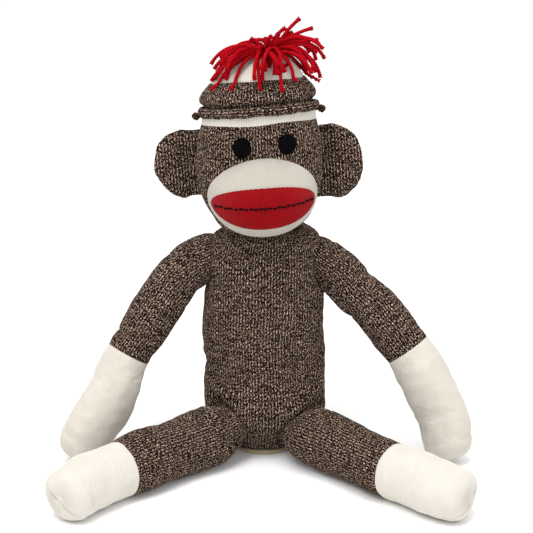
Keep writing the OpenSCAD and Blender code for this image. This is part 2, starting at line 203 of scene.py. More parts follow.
def knit_relief(s, u, v, slant=0.55):
    """Height of the V stitches, and where a point lies along its yarn.
    u counts wales and v counts courses."""
    leg = s.math("MULTIPLY", u, 2.0)
    column = s.math("FLOOR", leg)
    across = s.math("FRACT", leg)
    side = s.math("SUBTRACT", s.math("MULTIPLY", s.math("MODULO", s.math("ABSOLUTE", column), 2.0), 2.0), 1.0)
    lean = s.math("MULTIPLY", s.math("MULTIPLY", s.math("SUBTRACT", across, 0.5), side), slant * 2)
    along = s.math("ADD", v, lean)
    round_leg = s.math("SINE", s.math("MULTIPLY", across, math.pi))
    bead = s.math("ABSOLUTE", s.math("SINE", s.math("MULTIPLY", along, math.pi)))
    height = s.math(
        "MULTIPLY", s.math("POWER", round_leg, 0.6),
        s.math("ADD", s.math("MULTIPLY", bead, 0.45), 0.55)
    )
    return column, across, along, height


def marl_material():
    s = Shader("marl_knit")
    u, v = s.uv()
    column, across, along, height = knit_relief(s, u, v, 0.42)
    # Two yarns, dark and light, are twisted together, so each leg of a stitch shows
    # slanting dashes of one or the other
    drift = s.noise(
        s.vector(s.math("MULTIPLY", column, 3.71), s.math("MULTIPLY", along, 0.8), 0.0), 1.0, 1.0,
        0.5
    )
    turn = s.math("ADD", s.math("MULTIPLY", along, 0.62), s.math("MULTIPLY", across, 0.75))
    turn = s.math("ADD", turn, s.math("MULTIPLY", drift, 3.2))
    twist = s.math("SINE", s.math("MULTIPLY", turn, 2 * math.pi))
    ply = s.noise(s.vector(s.math("MULTIPLY", u, 4.2), s.math("MULTIPLY", along, 1.15), 4.0), 1.0, 1.0, 0.6)
    patch = s.noise(s.vector(s.math("MULTIPLY", u, 0.16), s.math("MULTIPLY", v, 0.5), 9.0), 1.0, 2.0, 0.5)
    tone = s.math("ADD", s.math("MULTIPLY", twist, 0.10), ply)
    tone = s.math("ADD", tone, s.math("MULTIPLY", s.math("SUBTRACT", patch, 0.5), 0.12))
    color = s.ramp(
        tone,
        [
            (0.42, srgb(9, 4, 2)),
            (0.515, srgb(36, 22, 15)),
            (0.585, srgb(108, 84, 70)),
            (0.665, srgb(218, 192, 174)),
        ],
    )
    # Painted shade: a dark gap between one wale and the next, a lighter band down the middle of each, and
    # darker low parts of each stitch
    wale = s.math("ABSOLUTE", s.math("SINE", s.math("MULTIPLY", u, math.pi)))
    gap = s.span(wale, 0.25, 0.95, 0.16, 1.0, True)
    shade = s.math("MULTIPLY", s.span(height, 0.1, 0.75, 0.6, 1.0, True), gap)
    color = s.mix(1.0, color, s.vector(shade, shade, shade), "MULTIPLY")
    s.bump(height, 0.45, 0.0005)
    return s.finish(color, 1.0, 0.12, (0.22, 0.18, 0.15, 1), 0.0)


def plain_knit(name, color, groove, tint, slant=0.5, strength=0.5, contrast=0.22):
    s = Shader(name)
    u, v = s.uv()
    column, across, along, height = knit_relief(s, u, v, slant)
    patch = s.noise(s.vector(s.math("MULTIPLY", u, 0.1), s.math("MULTIPLY", v, 0.1), 2.0), 1.0, 3.0, 0.55)
    fleck = s.noise(s.vector(s.math("MULTIPLY", u, 2.3), s.math("MULTIPLY", along, 1.1), 5.0), 1.0, 2.0, 0.6)
    base = s.mix(s.span(patch, 0.3, 0.7, 0.0, 1.0), color, tint)
    # Painted shade: the groove colour shows in the gaps between wales and the low parts of the stitches; the
    # fleck adds random tone
    wale = s.math("ABSOLUTE", s.math("SINE", s.math("MULTIPLY", u, math.pi)))
    stitch = s.span(height, 0.05, 0.7, 1.0 - contrast, 1.0, True)
    gap = s.span(wale, 0.0, 0.6, 1.0 - 1.6 * contrast, 1.0, True)
    shade = s.math("MULTIPLY", s.math("MULTIPLY", stitch, gap), s.span(fleck, 0.25, 0.75, 0.9, 1.06))
    deep = s.mix(shade, groove, base)
    s.bump(height, strength, 0.0005)
    return s.finish(deep, 1.0, 0.04, (1, 1, 1, 1))


def yarn_material(name, color, dark, scale=900.0):
    """Twisted yarn: UV x goes round the ply and y runs along it, in millimetres."""
    s = Shader(name)
    u, v = s.uv()
    fibre = s.math("SINE", s.math("ADD", s.math("MULTIPLY", v, 5.0), s.math("MULTIPLY", u, 2 * math.pi * 2)))
    fluff = s.noise(s.place(), scale, 3.0, 0.7)
    height = s.math("ADD", s.math("MULTIPLY", fibre, 0.25), fluff)
    # Partly painted shade: the dark colour fills the low parts of the bump, the hollows of the twist; the
    # fluff noise adds random tone
    tone = s.span(height, 0.25, 0.95, 0.0, 1.0, True)
    s.bump(height, 0.6, 0.0004)
    return s.finish(s.mix(tone, dark, color), 0.95, 0.05, color)


def felt_material():
    s = Shader("black_felt")
    fibre = s.noise(s.place(), 1400.0, 4.0, 0.75)
    cloud = s.noise(s.place(), 220.0, 2.0, 0.5)
    height = s.math("ADD", fibre, s.math("MULTIPLY", cloud, 0.4))
    color = s.ramp(height, [(0.35, srgb(2, 2, 3)), (0.95, srgb(15, 15, 17))])
    s.bump(height, 0.5, 0.0004)
    return s.finish(color, 1.0, 0.0, gloss=0.0)


MARL = marl_material()
# The second colour of each plain knit is the painted shade of its grooves; the third gives random patches of
# tone
CREAM = plain_knit("cream_knit", srgb(189, 184, 174), srgb(104, 97, 87), srgb(181, 175, 165), 0.4, 0.5, 0.34)
FINE_CREAM = plain_knit(
    "fine_cream_knit", srgb(214, 209, 199), srgb(128, 120, 108), srgb(205, 199, 188), 0.4, 0.5, 0.24
)
# The feet are the same cream yarn as the hands; this lighter copy is painted light, for the stronger light on
# their up-facing tops
FEET_CREAM_PAINTED_LIGHT = plain_knit(
    "foot_knit_painted_light", srgb(221, 216, 207), srgb(140, 132, 120), srgb(214, 209, 199), 0.4, 0.5, 0.24
)
RED = plain_knit("red_knit", srgb(160, 14, 22), srgb(40, 1, 4), srgb(148, 12, 19), 0.3, 0.8, 0.65)
BEIGE = plain_knit("beige_knit", srgb(178, 166, 132), srgb(110, 98, 70), srgb(164, 152, 118))
YARN = yarn_material("red_yarn", srgb(212, 20, 32), srgb(112, 3, 12))
BROWN_YARN = yarn_material("brown_yarn", srgb(94, 72, 60), srgb(36, 22, 16))
THREAD = yarn_material("brown_thread", srgb(70, 54, 46), srgb(34, 24, 20), 1800.0)
BLACK_THREAD = yarn_material("black_thread", srgb(24, 22, 26), srgb(5, 5, 7), 1800.0)
FELT = felt_material()


WALE = 2.45  # width of a marl wale and height of a course, in millimetres
COURSE = 1.85


# ---------------------------------------------------------------- curves and grids
def hermite(xs, ys, x):
    """Smooth values through the rows (xs, ys) at x, along the first axis of ys."""
    xs = np.asarray(xs, float)
    ys = np.asarray(ys, float)
    flat = ys.reshape(len(xs), -1)
    slope = np.gradient(flat, xs, axis=0)
    i = np.clip(np.searchsorted(xs, x, side="right") - 1, 0, len(xs) - 2)
    h = (xs[i + 1] - xs[i])[:, None]
    t = ((x - xs[i]) / (xs[i + 1] - xs[i]))[:, None]
    value = (
        flat[i] * (2 * t**3 - 3 * t**2 + 1)
        + slope[i] * h * (t**3 - 2 * t**2 + t)
        + flat[i + 1] * (-2 * t**3 + 3 * t**2)
        + slope[i + 1] * h * (t**3 - t**2)
    )
    return value.reshape((len(x),) + ys.shape[1:])


def ease(t):
    t = np.clip(t, 0, 1)
    return t * t * (3 - 2 * t)


def grid_normals(p, closed=True):
    """Outward normals of a grid whose rows run along a tube and whose columns run round it."""
    along = np.gradient(p, axis=0)
    if closed:
        round_ = np.roll(p, -1, axis=1) - np.roll(p, 1, axis=1)
    else:
        round_ = np.gradient(p, axis=1)
    n = np.cross(along, round_)
    if np.sum((p - p.mean(axis=(0, 1))) * n) < 0:
        n = -n
    size = np.linalg.norm(n, axis=2, keepdims=True)
    return n / np.maximum(size, 1e-9)


def waves(p, length, seed, count=10):
    """Smooth lumps of about that length, from -1 to 1, at points p in millimetres."""
    r = np.random.default_rng(seed)
    total = np.zeros(p.shape[:-1])
    for _ in range(count):
        k = r.normal(size=3)
        k *= 2 * math.pi / (length * r.uniform(0.7, 1.5)) / np.linalg.norm(k)
        total += np.sin(p @ k + r.uniform(0, 2 * math.pi))
    return total / math.sqrt(count / 2) / 2


def resample(p, rows, columns, closed=True):
    """The same surface on a finer or evener grid, rows spaced evenly by length."""
    steps = np.linalg.norm(np.diff(p, axis=0), axis=2).mean(axis=1)
    s = np.concatenate([[0], np.cumsum(np.maximum(steps, 1e-6))])
    q = hermite(s, p, np.linspace(0, s[-1], rows))
    if closed:
        n = p.shape[1]
        pad = np.concatenate([q[:, -3:], q, q[:, :4]], axis=1)
        xs = np.arange(-3, n + 4, dtype=float)
        x = np.arange(columns) * n / columns
    else:
        pad = q
        xs = np.arange(p.shape[1], dtype=float)
        x = np.linspace(0, p.shape[1] - 1, columns)
    return hermite(xs, pad.transpose(1, 0, 2), x).transpose(1, 0, 2), s[-1]


def make_object(name, verts, faces, uvs, material, smooth=True):
    """verts in millimetres; uvs is one pair for each face corner."""
    mesh = bpy.data.meshes.new(name)
    mesh.from_pydata((np.asarray(verts) * MM).tolist(), [], faces)
    layer = mesh.uv_layers.new(name="knit")
    layer.data.foreach_set("uv", np.asarray(uvs, np.float32).ravel())
    mesh.materials.append(material)
    if smooth:
        mesh.polygons.foreach_set("use_smooth", [True] * len(mesh.polygons))
    mesh.update()
    count = len(mesh.polygons)
    centres, normals, areas = np.zeros(count * 3), np.zeros(count * 3), np.zeros(count)
    mesh.polygons.foreach_get("center", centres)
    mesh.polygons.foreach_get("normal", normals)
    mesh.polygons.foreach_get("area", areas)
    centres, normals = centres.reshape(-1, 3), normals.reshape(-1, 3)
    if np.sum((centres - centres.mean(axis=0)) * normals * areas[:, None]) < 0:
        mesh.flip_normals()
    made = bpy.data.objects.new(name, mesh)
    bpy.context.collection.objects.link(made)
    return made


def grid_faces(m, n, base=0, closed=True):
    i, j = np.meshgrid(np.arange(m - 1), np.arange(n if closed else n - 1), indexing="ij")
    a = base + i * n + j
    b = base + i * n + (j + 1) % n
    return np.stack([a, b, b + n, a + n], axis=-1).reshape(-1, 4)


def grid_uvs(u, v):
    """Corner UVs for grid_faces. u has one more value than columns where the grid is closed."""
    m = len(v)
    i, j = np.meshgrid(np.arange(m - 1), np.arange(len(u) - 1), indexing="ij")
    return np.stack(
        [
            np.stack([u[j], v[i]], -1),
            np.stack([u[j + 1], v[i]], -1),
            np.stack([u[j + 1], v[i + 1]], -1),
            np.stack([u[j], v[i + 1]], -1),
        ],
        axis=2,
    ).reshape(-1, 2)


def knit_tube(
    name, p, material, wales, per_wale=4, per_course=3, course=2.4, relief=0.3, shape=None,
    caps=(True, True), turned=False
):
    """A knitted tube through control grid p, with a rib for each wale and a bead for each stitch."""
    _, length = resample(p, 8, 8)
    courses = max(4, round(length / course))
    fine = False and 2 or 1
    columns = wales * per_wale // fine
    rows = courses * per_course // fine + 1
    q, length = resample(p, rows, columns)
    u = np.arange(columns + 1) * wales / columns
    v = np.linspace(0, courses, rows)
    if shape is not None:
        q = shape(q, u[:-1], v)
    n = grid_normals(q)
    rib = np.abs(np.sin(math.pi * 2 * u[:-1])) * 0.75 + np.abs(np.sin(math.pi * u[:-1])) * 0.45
    bead = 0.75 + 0.25 * np.abs(np.sin(math.pi * v))
    fade = ease(np.minimum(np.arange(rows), np.arange(rows)[::-1]) / 4)
    q = q + n * (relief * (np.outer(bead * fade, rib) - 0.5))[:, :, None]
    verts = q.reshape(-1, 3)
    faces = grid_faces(rows, columns).tolist()
    uvs = [grid_uvs(u, v)]
    extra = []
    for wanted, row, order in ((caps[0], 0, 1), (caps[1], rows - 1, -1)):
        if not wanted:
            continue
        centre = q[row].mean(axis=0)
        index = len(verts) + len(extra)
        extra.append(centre)
        for j in range(columns):
            a, b = row * columns + j, row * columns + (j + 1) % columns
            faces.append([index, b, a] if order > 0 else [index, a, b])
        vv = v[row]
        uvs.append(
            np.array([[[u[j], vv], [u[j + 1], vv], [u[j], vv]]
                      if order > 0 else [[u[j], vv], [u[j], vv], [u[j + 1], vv]]
                      for j in range(columns)]).reshape(-1, 2)
        )
    if extra:
        verts = np.concatenate([verts, np.array(extra)])
    uvs = np.concatenate(uvs)
    if turned:
        # the back of the knit shows, whose loops lie across the wales
        uvs = uvs[:, ::-1] * [0.8, 1.25]
    return make_object(name, verts, faces, uvs, material)


def ring_rows(rows, count=64, power=2.0):
    """Control grid of level rings from rows of (z, x low, x high, y front, y back)."""
    fine = np.arange(count * 12 + 1) * 2 * math.pi / (count * 12) + math.pi / 2
    c, s = np.cos(fine), np.sin(fine)
    c, s = np.sign(c) * np.abs(c) ** (2 / power), np.sign(s) * np.abs(s) ** (2 / power)
    _, x0, x1, y0, y1 = rows[len(rows) // 2]
    run = np.hypot(np.diff(c) * (x1 - x0), np.diff(s) * (y1 - y0))
    run = np.concatenate([[0], np.cumsum(run)])
    even = np.arange(count) * run[-1] / count
    c, s = np.interp(even, run, c), np.interp(even, run, s)
    out = []
    for z, x0, x1, y0, y1 in rows:
        cx, cy = (x0 + x1) / 2, (y0 + y1) / 2
        a, b = (x1 - x0) / 2, (y1 - y0) / 2
        out.append(
            np.stack(
                [cx + a * c, cy + b * s, np.full(count, z, float)],
                -1,
            )
        )
    return np.array(out)


def stuffed(grid, pins, pressure=4.0, give=0.03, cap=3.0, frames_run=18):
    """The control grid after a cloth simulation that fills it like a cushion.
    pins has a weight from 0 to 1 for every point of the grid: 1 where the knit is held."""
    m, n = grid.shape[:2]
    mesh = bpy.data.meshes.new("stuffing")
    mesh.from_pydata((grid.reshape(-1, 3) * MM).tolist(), [], grid_faces(m, n).tolist())
    body = bpy.data.objects.new("stuffing", mesh)
    bpy.context.collection.objects.link(body)
    held = body.vertex_groups.new(name="held")
    for index, weight in enumerate(np.asarray(pins).ravel()):
        held.add([index], float(weight), "REPLACE")
    normals = np.zeros(len(mesh.polygons) * 3)
    centres = np.zeros(len(mesh.polygons) * 3)
    mesh.polygons.foreach_get("normal", normals)
    mesh.polygons.foreach_get("center", centres)
    normals, centres = normals.reshape(-1, 3), centres.reshape(-1, 3)
    if np.sum((centres - centres.mean(axis=0)) * normals) < 0:
        mesh.flip_normals()
    cloth = body.modifiers.new("cloth", "CLOTH")
    settings = cloth.settings
    settings.quality = 6
    settings.mass = 0.2
    settings.tension_stiffness = 20
    settings.compression_stiffness = 6
    settings.shear_stiffness = 4
    settings.bending_stiffness = 0.15
    settings.tension_damping = 8
    settings.compression_damping = 8
    settings.shear_damping = 8
    settings.air_damping = 2
    settings.use_pressure = True
    settings.uniform_pressure_force = pressure
    settings.shrink_min = -give
    settings.vertex_group_mass = "held"
    settings.pin_stiffness = 1.0
    settings.effector_weights.gravity = 0
    cloth.collision_settings.use_collision = False
    cloth.point_cache.frame_start = 1
    cloth.point_cache.frame_end = frames_run
    scene = bpy.context.scene
    for frame_number in range(1, frames_run + 1):
        scene.frame_set(frame_number)
    evaluated = body.evaluated_get(bpy.context.evaluated_depsgraph_get())
    co = np.zeros(m * n * 3)
    evaluated.data.vertices.foreach_get("co", co)
    scene.frame_set(1)
    moved = co.reshape(m, n, 3) / MM - grid
    bpy.data.objects.remove(body)
    bpy.data.meshes.remove(mesh)
    size = np.linalg.norm(moved, axis=2, keepdims=True)
    moved = np.where(np.isfinite(moved), moved, 0) * np.minimum(1, cap / np.maximum(size, 1e-6))
    return grid + moved


def frames(path, ref):
    """Directions along, across and up for points on a path."""
    d = np.gradient(path, axis=0)
    d /= np.linalg.norm(d, axis=1, keepdims=True)
    across = np.cross(d, ref)
    across /= np.linalg.norm(across, axis=1, keepdims=True)
    return d, across, np.cross(across, d)


def sweep(path, radii, ref, count=48, flat=1.0, end_depth=0.95, end_power=1.0):
    """Control grid of a stuffed limb along a path, with rounded ends. flat is its depth against its width."""
    path = np.asarray(path, float)
    radii = np.asarray(radii, float)
    flats = np.broadcast_to(np.asarray(flat, float), radii.shape)
    d, a, b = frames(path, np.asarray(ref, float))
    t = np.arange(count) * 2 * math.pi / count
    rings = []

    def ring(c, da, db, r, f):
        return c + r * (np.cos(t)[:, None] * da + f * np.sin(t)[:, None] * db)

    for angle in (8, 25, 42, 60, 76):
        k = math.radians(angle)
        rings.append(
            ring(
                path[0] - d[0] * radii[0] * math.cos(k), a[0], b[0], radii[0] * math.sin(k),
                flats[0]
            )
        )
    for i in range(len(path)):
        rings.append(ring(path[i], a[i], b[i], radii[i], flats[i]))
    for angle in (80, 68, 56, 44, 32, 20, 10, 4):
        k = math.radians(angle)
        size = math.sin(k) ** end_power
        rings.append(
            ring(
                path[-1] + d[-1] * radii[-1] * end_depth * math.cos(k), a[-1], b[-1],
                radii[-1] * size, flats[-1]
            )
        )
    return np.array(rings)


def smooth_path(points, steps):
    points = np.asarray(points, float)
    s = np.concatenate([[0], np.cumsum(np.linalg.norm(np.diff(points, axis=0), axis=1))])
    x = np.linspace(0, s[-1], steps)
    return hermite(s, points, x), x / s[-1]


def yarn_tube(name, paths, radius, material, plies=3, pitch=5.0, sides=6, fray=0.0):
    """Twisted yarn along each path in millimetres, as real plies."""
    verts, faces, uvs = [], [], []
    base = 0
    for path in paths:
        path = np.asarray(path, float)
        d = np.gradient(path, axis=0)
        d /= np.linalg.norm(d, axis=1, keepdims=True)
        side = np.cross(d[0], [0.3, 0.2, 1.0])
        side /= np.linalg.norm(side)
        sides_a = []
        for k in range(len(path)):
            side = side - d[k] * np.dot(side, d[k])
            side /= np.linalg.norm(side)
            sides_a.append(side)
        a = np.array(sides_a)
        b = np.cross(d, a)
        s = np.concatenate([[0], np.cumsum(np.linalg.norm(np.diff(path, axis=0), axis=1))])
        for ply in range(plies):
            turn = 2 * math.pi * (s / pitch + ply / plies)
            ply_r = radius * (0.56 if plies > 1 else 1.0)
            off = radius * (0.46 if plies > 1 else 0.0) * (1 + fray * ease((s - s[-1] + 5) / 5))
            c = path + (off * np.cos(turn))[:, None] * a + (off * np.sin(turn))[:, None] * b
            t = np.arange(sides) * 2 * math.pi / sides
            grid = c[:, None] + ply_r * (
                np.cos(t)[None, :, None] * a[:, None] + np.sin(t)[None, :, None] * b[:, None]
            )
            m = len(path)
            verts.append(grid.reshape(-1, 3))
            verts.append(c[[0, -1]])
            faces += grid_faces(m, sides, base).tolist()
            uvs.append(grid_uvs(np.arange(sides + 1) / sides, s))
            end = base + m * sides
            for j in range(sides):
                faces.append([end, base + (j + 1) % sides, base + j])
                faces.append([end + 1, base + (m - 1) * sides + j, base + (m - 1) * sides + (j + 1) % sides])
            uvs.append(np.zeros((sides * 6, 2)))
            base += m * sides + 2
    return make_object(name, np.concatenate(verts), faces, np.concatenate(uvs), material)


# ---------------------------------------------------------------- torso
_, torso_hi = (mm(c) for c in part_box("torso_cover"))
shoulder = pivot("arm_left_swing")
hip = pivot("leg_left_splay")


def torso_rows():
    w = torso_hi[0]
    top = torso_hi[2]
    return [
        (top + 5.5, -0.48 * w, 0.54 * w, -20, 24),
        (top + 3, -0.62 * w, 0.70 * w, -25, 28),
        (top - 2, -0.76 * w, 0.84 * w, -29, 33),
        (top - 8, -0.86 * w, 0.93 * w, -31, 35),
        (165, -0.92 * w, 0.965 * w, -33, 37),
        (150, -0.945 * w, 0.975 * w, -34.5, 38),
        (128, -0.965 * w, 0.99 * w, -36, 39.5),
        (98, -0.99 * w, 0.975 * w, -37.5, 40.5),
        (70, -0.965 * w, 0.99 * w, -38.5, 41),
        (50, -0.96 * w, 1.01 * w, -43, 41),
        (32, -0.95 * w, 1.01 * w, -42, 40.5),
        (20, -0.93 * w, 0.97 * w, -36.5, 39),
        (10, -0.87 * w, 0.89 * w, -28, 36),
        (4, -0.76 * w, 0.78 * w, -22, 31.5),
        (1.6, -0.62 * w, 0.62 * w, -17.5, 26),
        (0.9, -0.45 * w, 0.45 * w, -14, 19),
    ]


# Where each thigh meets the belly: distances from the middle, and the heights of the crease there
THIGH_CREASE = {
    1: ((13, 16, 26, 44, 50), (25, 29, 36, 49, 52)),
    -1: ((17, 22, 33, 47, 52), (32, 40, 50, 54, 55))
}


def torso_shape(q, u, v):
    """Lumps of the filling, and the soft hollows round the arms and legs."""
    n = grid_normals(q)
    x, y, z = q[..., 0], q[..., 1], q[..., 2]
    push = 0.9 * waves(q, 46, 3) + 0.45 * waves(q, 17, 5)
    for side in (1, -1):
        # the belly folds over the thighs: a roll with a deep crease under it
        across, height = THIGH_CREASE[side]
        high = z - np.interp(side * x, across, height)
        near = ease((side * x - across[0] + 4) / 8) * ease((-y - 6) / 16)
        push += (3.4 * np.exp(-(((high - 8) / 6.0) ** 2)) - 8.0 * ease((3 - high) / 5)) * near
        # the arm's seam pulls the body in round it
        root = shoulder * [side, 1, 1]
        gap = np.linalg.norm(q - root, axis=-1)
        push -= 2.6 * np.exp(-(((gap - 19.5) / 3.0) ** 2)) * ease((np.abs(x) - 20) / 12)
    # the belly fills the gap between the thighs
    push += 3.0 * np.exp(-((x + 3) / 16) ** 2) * np.exp(-(((z - 36) / 12) ** 2)) * ease((-y - 20) / 14)
    push *= ease((z - 1) / 8)
    return q + n * push[..., None]


torso_grid, _ = resample(ring_rows(torso_rows(), power=2.25), 60, 64)
torso_pins = np.clip(
    1 - np.minimum(np.arange(60), np.arange(60)[::-1]) / 5, 0, 1
)[:, None] * np.ones((60, 64))
torso_grid = stuffed(torso_grid, torso_pins, give=0.015, cap=1.6)
torso = knit_tube("torso", torso_grid, MARL, 118, per_wale=3, per_course=2, course=COURSE, shape=torso_shape)
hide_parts("torso_cover", "torso_stuffing")
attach(torso, "torso")

# Knit seat, which shows as a sliver under the front of the body; it is cream knit, and the darker beige used
# here is painted shade for the shadow it sits in
seat_lo, seat_hi = (mm(c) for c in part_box("seat_patch"))
seat_r = (seat_hi[0] - seat_lo[0]) / 2
seat_rows = []
for share, z in ((1.0, 3.4), (1.04, 2.0), (1.02, 0.9), (0.94, 0.3), (0.7, 0.05), (0.35, 0.0)):
    seat_rows.append((z, -seat_r * share, seat_r * share, -26.5 * share, 32 * share))
seat = knit_tube("seat_patch_knit", ring_rows(seat_rows), BEIGE, 56, course=2.4, relief=0.15)
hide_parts("seat_patch")
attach(seat, "torso")

# ---------------------------------------------------------------- head frame
NECK = pivot("head_turn")
UP = np.array(JOINTS["ear_left_fold"]["axis"], float)
BACK = np.cross(UP, np.array(JOINTS["head_nod"]["axis"], float))
BACK /= np.linalg.norm(BACK)
RIGHTWARD = np.cross(BACK, UP)
HEAD_AXES = np.stack([RIGHTWARD, BACK, UP])
head_lo, head_hi = (mm(c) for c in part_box("head_cover"))
HEAD_W = (head_hi[0] - head_lo[0]) / 2
HEAD_D = (head_hi[1] - head_lo[1]) / 2


def on_head(p):
    """From the head's own upright frame to the row frame."""
    p = np.asarray(p, float)
    return (p - NECK) @ HEAD_AXES + NECK


SLOPE_FROM, SLOPE_TO, HAT_TILT = 232.0, 268.0, 0.108
HAT_SHIFT = 3.0


def slope_back(p):
    """The top of the head and the hat slope towards the back and sit a little to the toy's left."""
    q = np.array(p, float)
    z = q[..., 2].copy()
    q[..., 2] -= q[..., 1] * HAT_TILT * ease((z - SLOPE_FROM) / (SLOPE_TO - SLOPE_FROM))
    q[..., 0] += HAT_SHIFT * np.clip((z - SLOPE_FROM) / 48, 0, 1)
    return q


def unslope(p):
    """The place that slope_back takes to p."""
    q = np.array(p, float)
    for _ in range(12):
        q = q + (p - slope_back(q))
    return q


HEAD_ROWS = [
    (183.5, 0.46, 0.50), (185.5, 0.60, 0.63), (190, 0.715, 0.74), (197, 0.80, 0.83), (206, 0.895, 0.90),
    (218, 0.97, 0.965), (235, 1.0, 1.0), (250, 0.985, 0.99), (260, 0.955, 0.965), (267, 0.925, 0.94),
    (272, 0.90, 0.92), (278, 0.86, 0.88), (284, 0.74, 0.77), (288, 0.5, 0.5),
]
BROW_Z = 269.4


def head_grid(rows, count=64):
    grid = ring_rows([(z, -a * HEAD_W, a * HEAD_W, -b * HEAD_D, b * HEAD_D) for z, a, b in rows], count, 2.12)
    return grid


def head_front(x, z):
    """Depth of the face at x, z in the head's frame."""
    zs = [r[0] for r in HEAD_ROWS]
    a = np.interp(z, zs, [r[1] for r in HEAD_ROWS]) * HEAD_W
    b = np.interp(z, zs, [r[2] for r in HEAD_ROWS]) * HEAD_D
    return -b * np.maximum(0, 1 - np.abs(x / a) ** 2.12) ** (1 / 2.12)


def brow_line(x, y):
    """Height of the seam of the brow band, a little wavy, against the head's own frame."""
    front = ease((12 - y) / 20)
    wave = 1.2 * np.sin(
        np.clip((x - 8) / 17.0, -2.2, 1.0)
    ) - 0.05 * np.minimum(x, 0) - 0.06 * np.maximum(x - 15, 0)
    return BROW_Z - 0.5 + wave * front


# Brown and cream are one tube of knit; the colour changes at the seam, which is where the mesh is split
dense_z = np.linspace(HEAD_ROWS[0][0], HEAD_ROWS[-1][0], 40)
fitted = hermite([r[0] for r in HEAD_ROWS], np.array([[r[1], r[2]] for r in HEAD_ROWS]), dense_z)
all_rows = [(z, a, b) for z, (a, b) in zip(dense_z, fitted)]


def head_shape(q, u, v):
    n = grid_normals(q)
    push = 0.7 * waves(q, 42, 11) + 0.35 * waves(q, 16, 12)
    # soft sockets under the eyes and a dent round the muzzle
    for x in (-15.5, 19.5):
        gap = np.linalg.norm(q - np.array([x, -41, 255]), axis=-1)
        push -= 1.3 * np.exp(-((gap / 9) ** 2))
    fold = ease((q[..., 2] - 186) / 8)
    return on_head(slope_back(q + n * (push * fold)[..., None]))


below = [r for r in all_rows if r[0] < BROW_Z - 1.5] + [
    (
        BROW_Z,
        *np.array(
            hermite(
                [r[0] for r in HEAD_ROWS], np.array([[r[1], r[2]] for r in HEAD_ROWS]),
                np.array([BROW_Z])
            )
        )[0]
    )
]
above = [(BROW_Z, below[-1][1], below[-1][2])] + [r for r in all_rows if r[0] > BROW_Z + 1.5]


def wavy_edge(rows_at_top):
    def shape(q, u, v):
        z = q[..., 2]
        near = ease(1 - np.abs(z - BROW_Z) / 12)
        q = q.copy()
        q[..., 2] += (brow_line(q[..., 0], q[..., 1]) - BROW_Z) * near
        return head_shape(q, u, v)

    return shape


head = knit_tube(
    "head", head_grid(below), MARL, 122, per_wale=3, per_course=2, course=COURSE,
    shape=wavy_edge(True), caps=(True, False)
)
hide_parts("head_cover", "head_stuffing")
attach(head, "head")

brow = knit_tube(
    "brow_band", head_grid(above), FINE_CREAM, 140, per_wale=3, course=1.7, relief=0.2,
    shape=wavy_edge(False), caps=(False, True)
)
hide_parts("head_crown")
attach(brow, "head")

# ---------------------------------------------------------------- muzzle and lips
muzzle_lo, _ = (mm(c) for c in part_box("muzzle_cover"))
MUZZLE_Z = 217.0
MUZZLE_W = 42.6
MUZZLE_UP = 29.4
MUZZLE_DOWN = 30.0
MUZZLE_FRONT = -(muzzle_lo[1]) - 0.5


def muzzle_surface(a, b):
    """Point of the muzzle for a in -1..1 across and b in -1..1 upwards, on a square mapped to the oval."""
    x0 = a * np.sqrt(1 - b * b / 2)
    z0 = b * np.sqrt(1 - a * a / 2)
    r = np.minimum(1, np.hypot(x0, z0))
    high = np.where(z0 > 0, MUZZLE_UP, MUZZLE_DOWN)
    x = MUZZLE_W * x0
    z = MUZZLE_Z + high * z0
    angle = np.arctan2(z0, x0)
    edge_x = MUZZLE_W * np.cos(angle)
    edge_z = MUZZLE_Z + high * np.sin(angle)
    base = head_front(edge_x, edge_z) + 1.5
    front = -MUZZLE_FRONT + 3.0 * np.maximum(0, z0) ** 2
    bulge = (1 - r**2.5) ** (1 / 2.15)
    y = base + (front - base) * bulge
    return np.stack([x, y, z - 1.5 * bulge * (1 - r)], -1)


def muzzle_at(x, z, above=0.0):
    """A place on the muzzle at x, z in the head's frame, that far out along its normal."""
    x0 = x / MUZZLE_W
    high = np.where(z > MUZZLE_Z, MUZZLE_UP, MUZZLE_DOWN)
    z0 = (z - MUZZLE_Z) / high
    # square of the disc point
    r2 = x0 * x0 - z0 * z0
    s = 2 * math.sqrt(2)
    a = 0.5 * np.sqrt(np.maximum(0, 2 + r2 + s * x0)) - 0.5 * np.sqrt(np.maximum(0, 2 + r2 - s * x0))
    b = 0.5 * np.sqrt(np.maximum(0, 2 - r2 + s * z0)) - 0.5 * np.sqrt(np.maximum(0, 2 - r2 - s * z0))
    a, b = np.clip(a, -0.999, 0.999), np.clip(b, -0.999, 0.999)
    e = 0.004
    p = muzzle_surface(a, b)
    n = np.cross(
        muzzle_surface(a + e, b) - muzzle_surface(a - e, b),
        muzzle_surface(a, b + e) - muzzle_surface(a, b - e)
    )
    n /= np.maximum(np.linalg.norm(n, axis=-1, keepdims=True), 1e-9)
    return p + n * above


def knit_patch(name, grid, material, wales, courses, relief):
    """A knitted patch on an open grid whose columns run across the wales."""
    m, n = grid.shape[:2]
    u = np.linspace(0, wales, n)
    v = np.linspace(0, courses, m)
    q = grid
    nn = np.cross(np.gradient(q, axis=1), np.gradient(q, axis=0))
    nn /= np.maximum(np.linalg.norm(nn, axis=2, keepdims=True), 1e-9)
    rib = np.abs(np.sin(math.pi * 2 * u)) * 0.5 + np.abs(np.sin(math.pi * u)) * 0.8
    q = q + nn * (relief * (rib - 0.5))[None, :, None]
    faces = grid_faces(m, n, closed=False).tolist()
    return make_object(name, on_head(slope_back(q)).reshape(-1, 3), faces, grid_uvs(u, v), material)


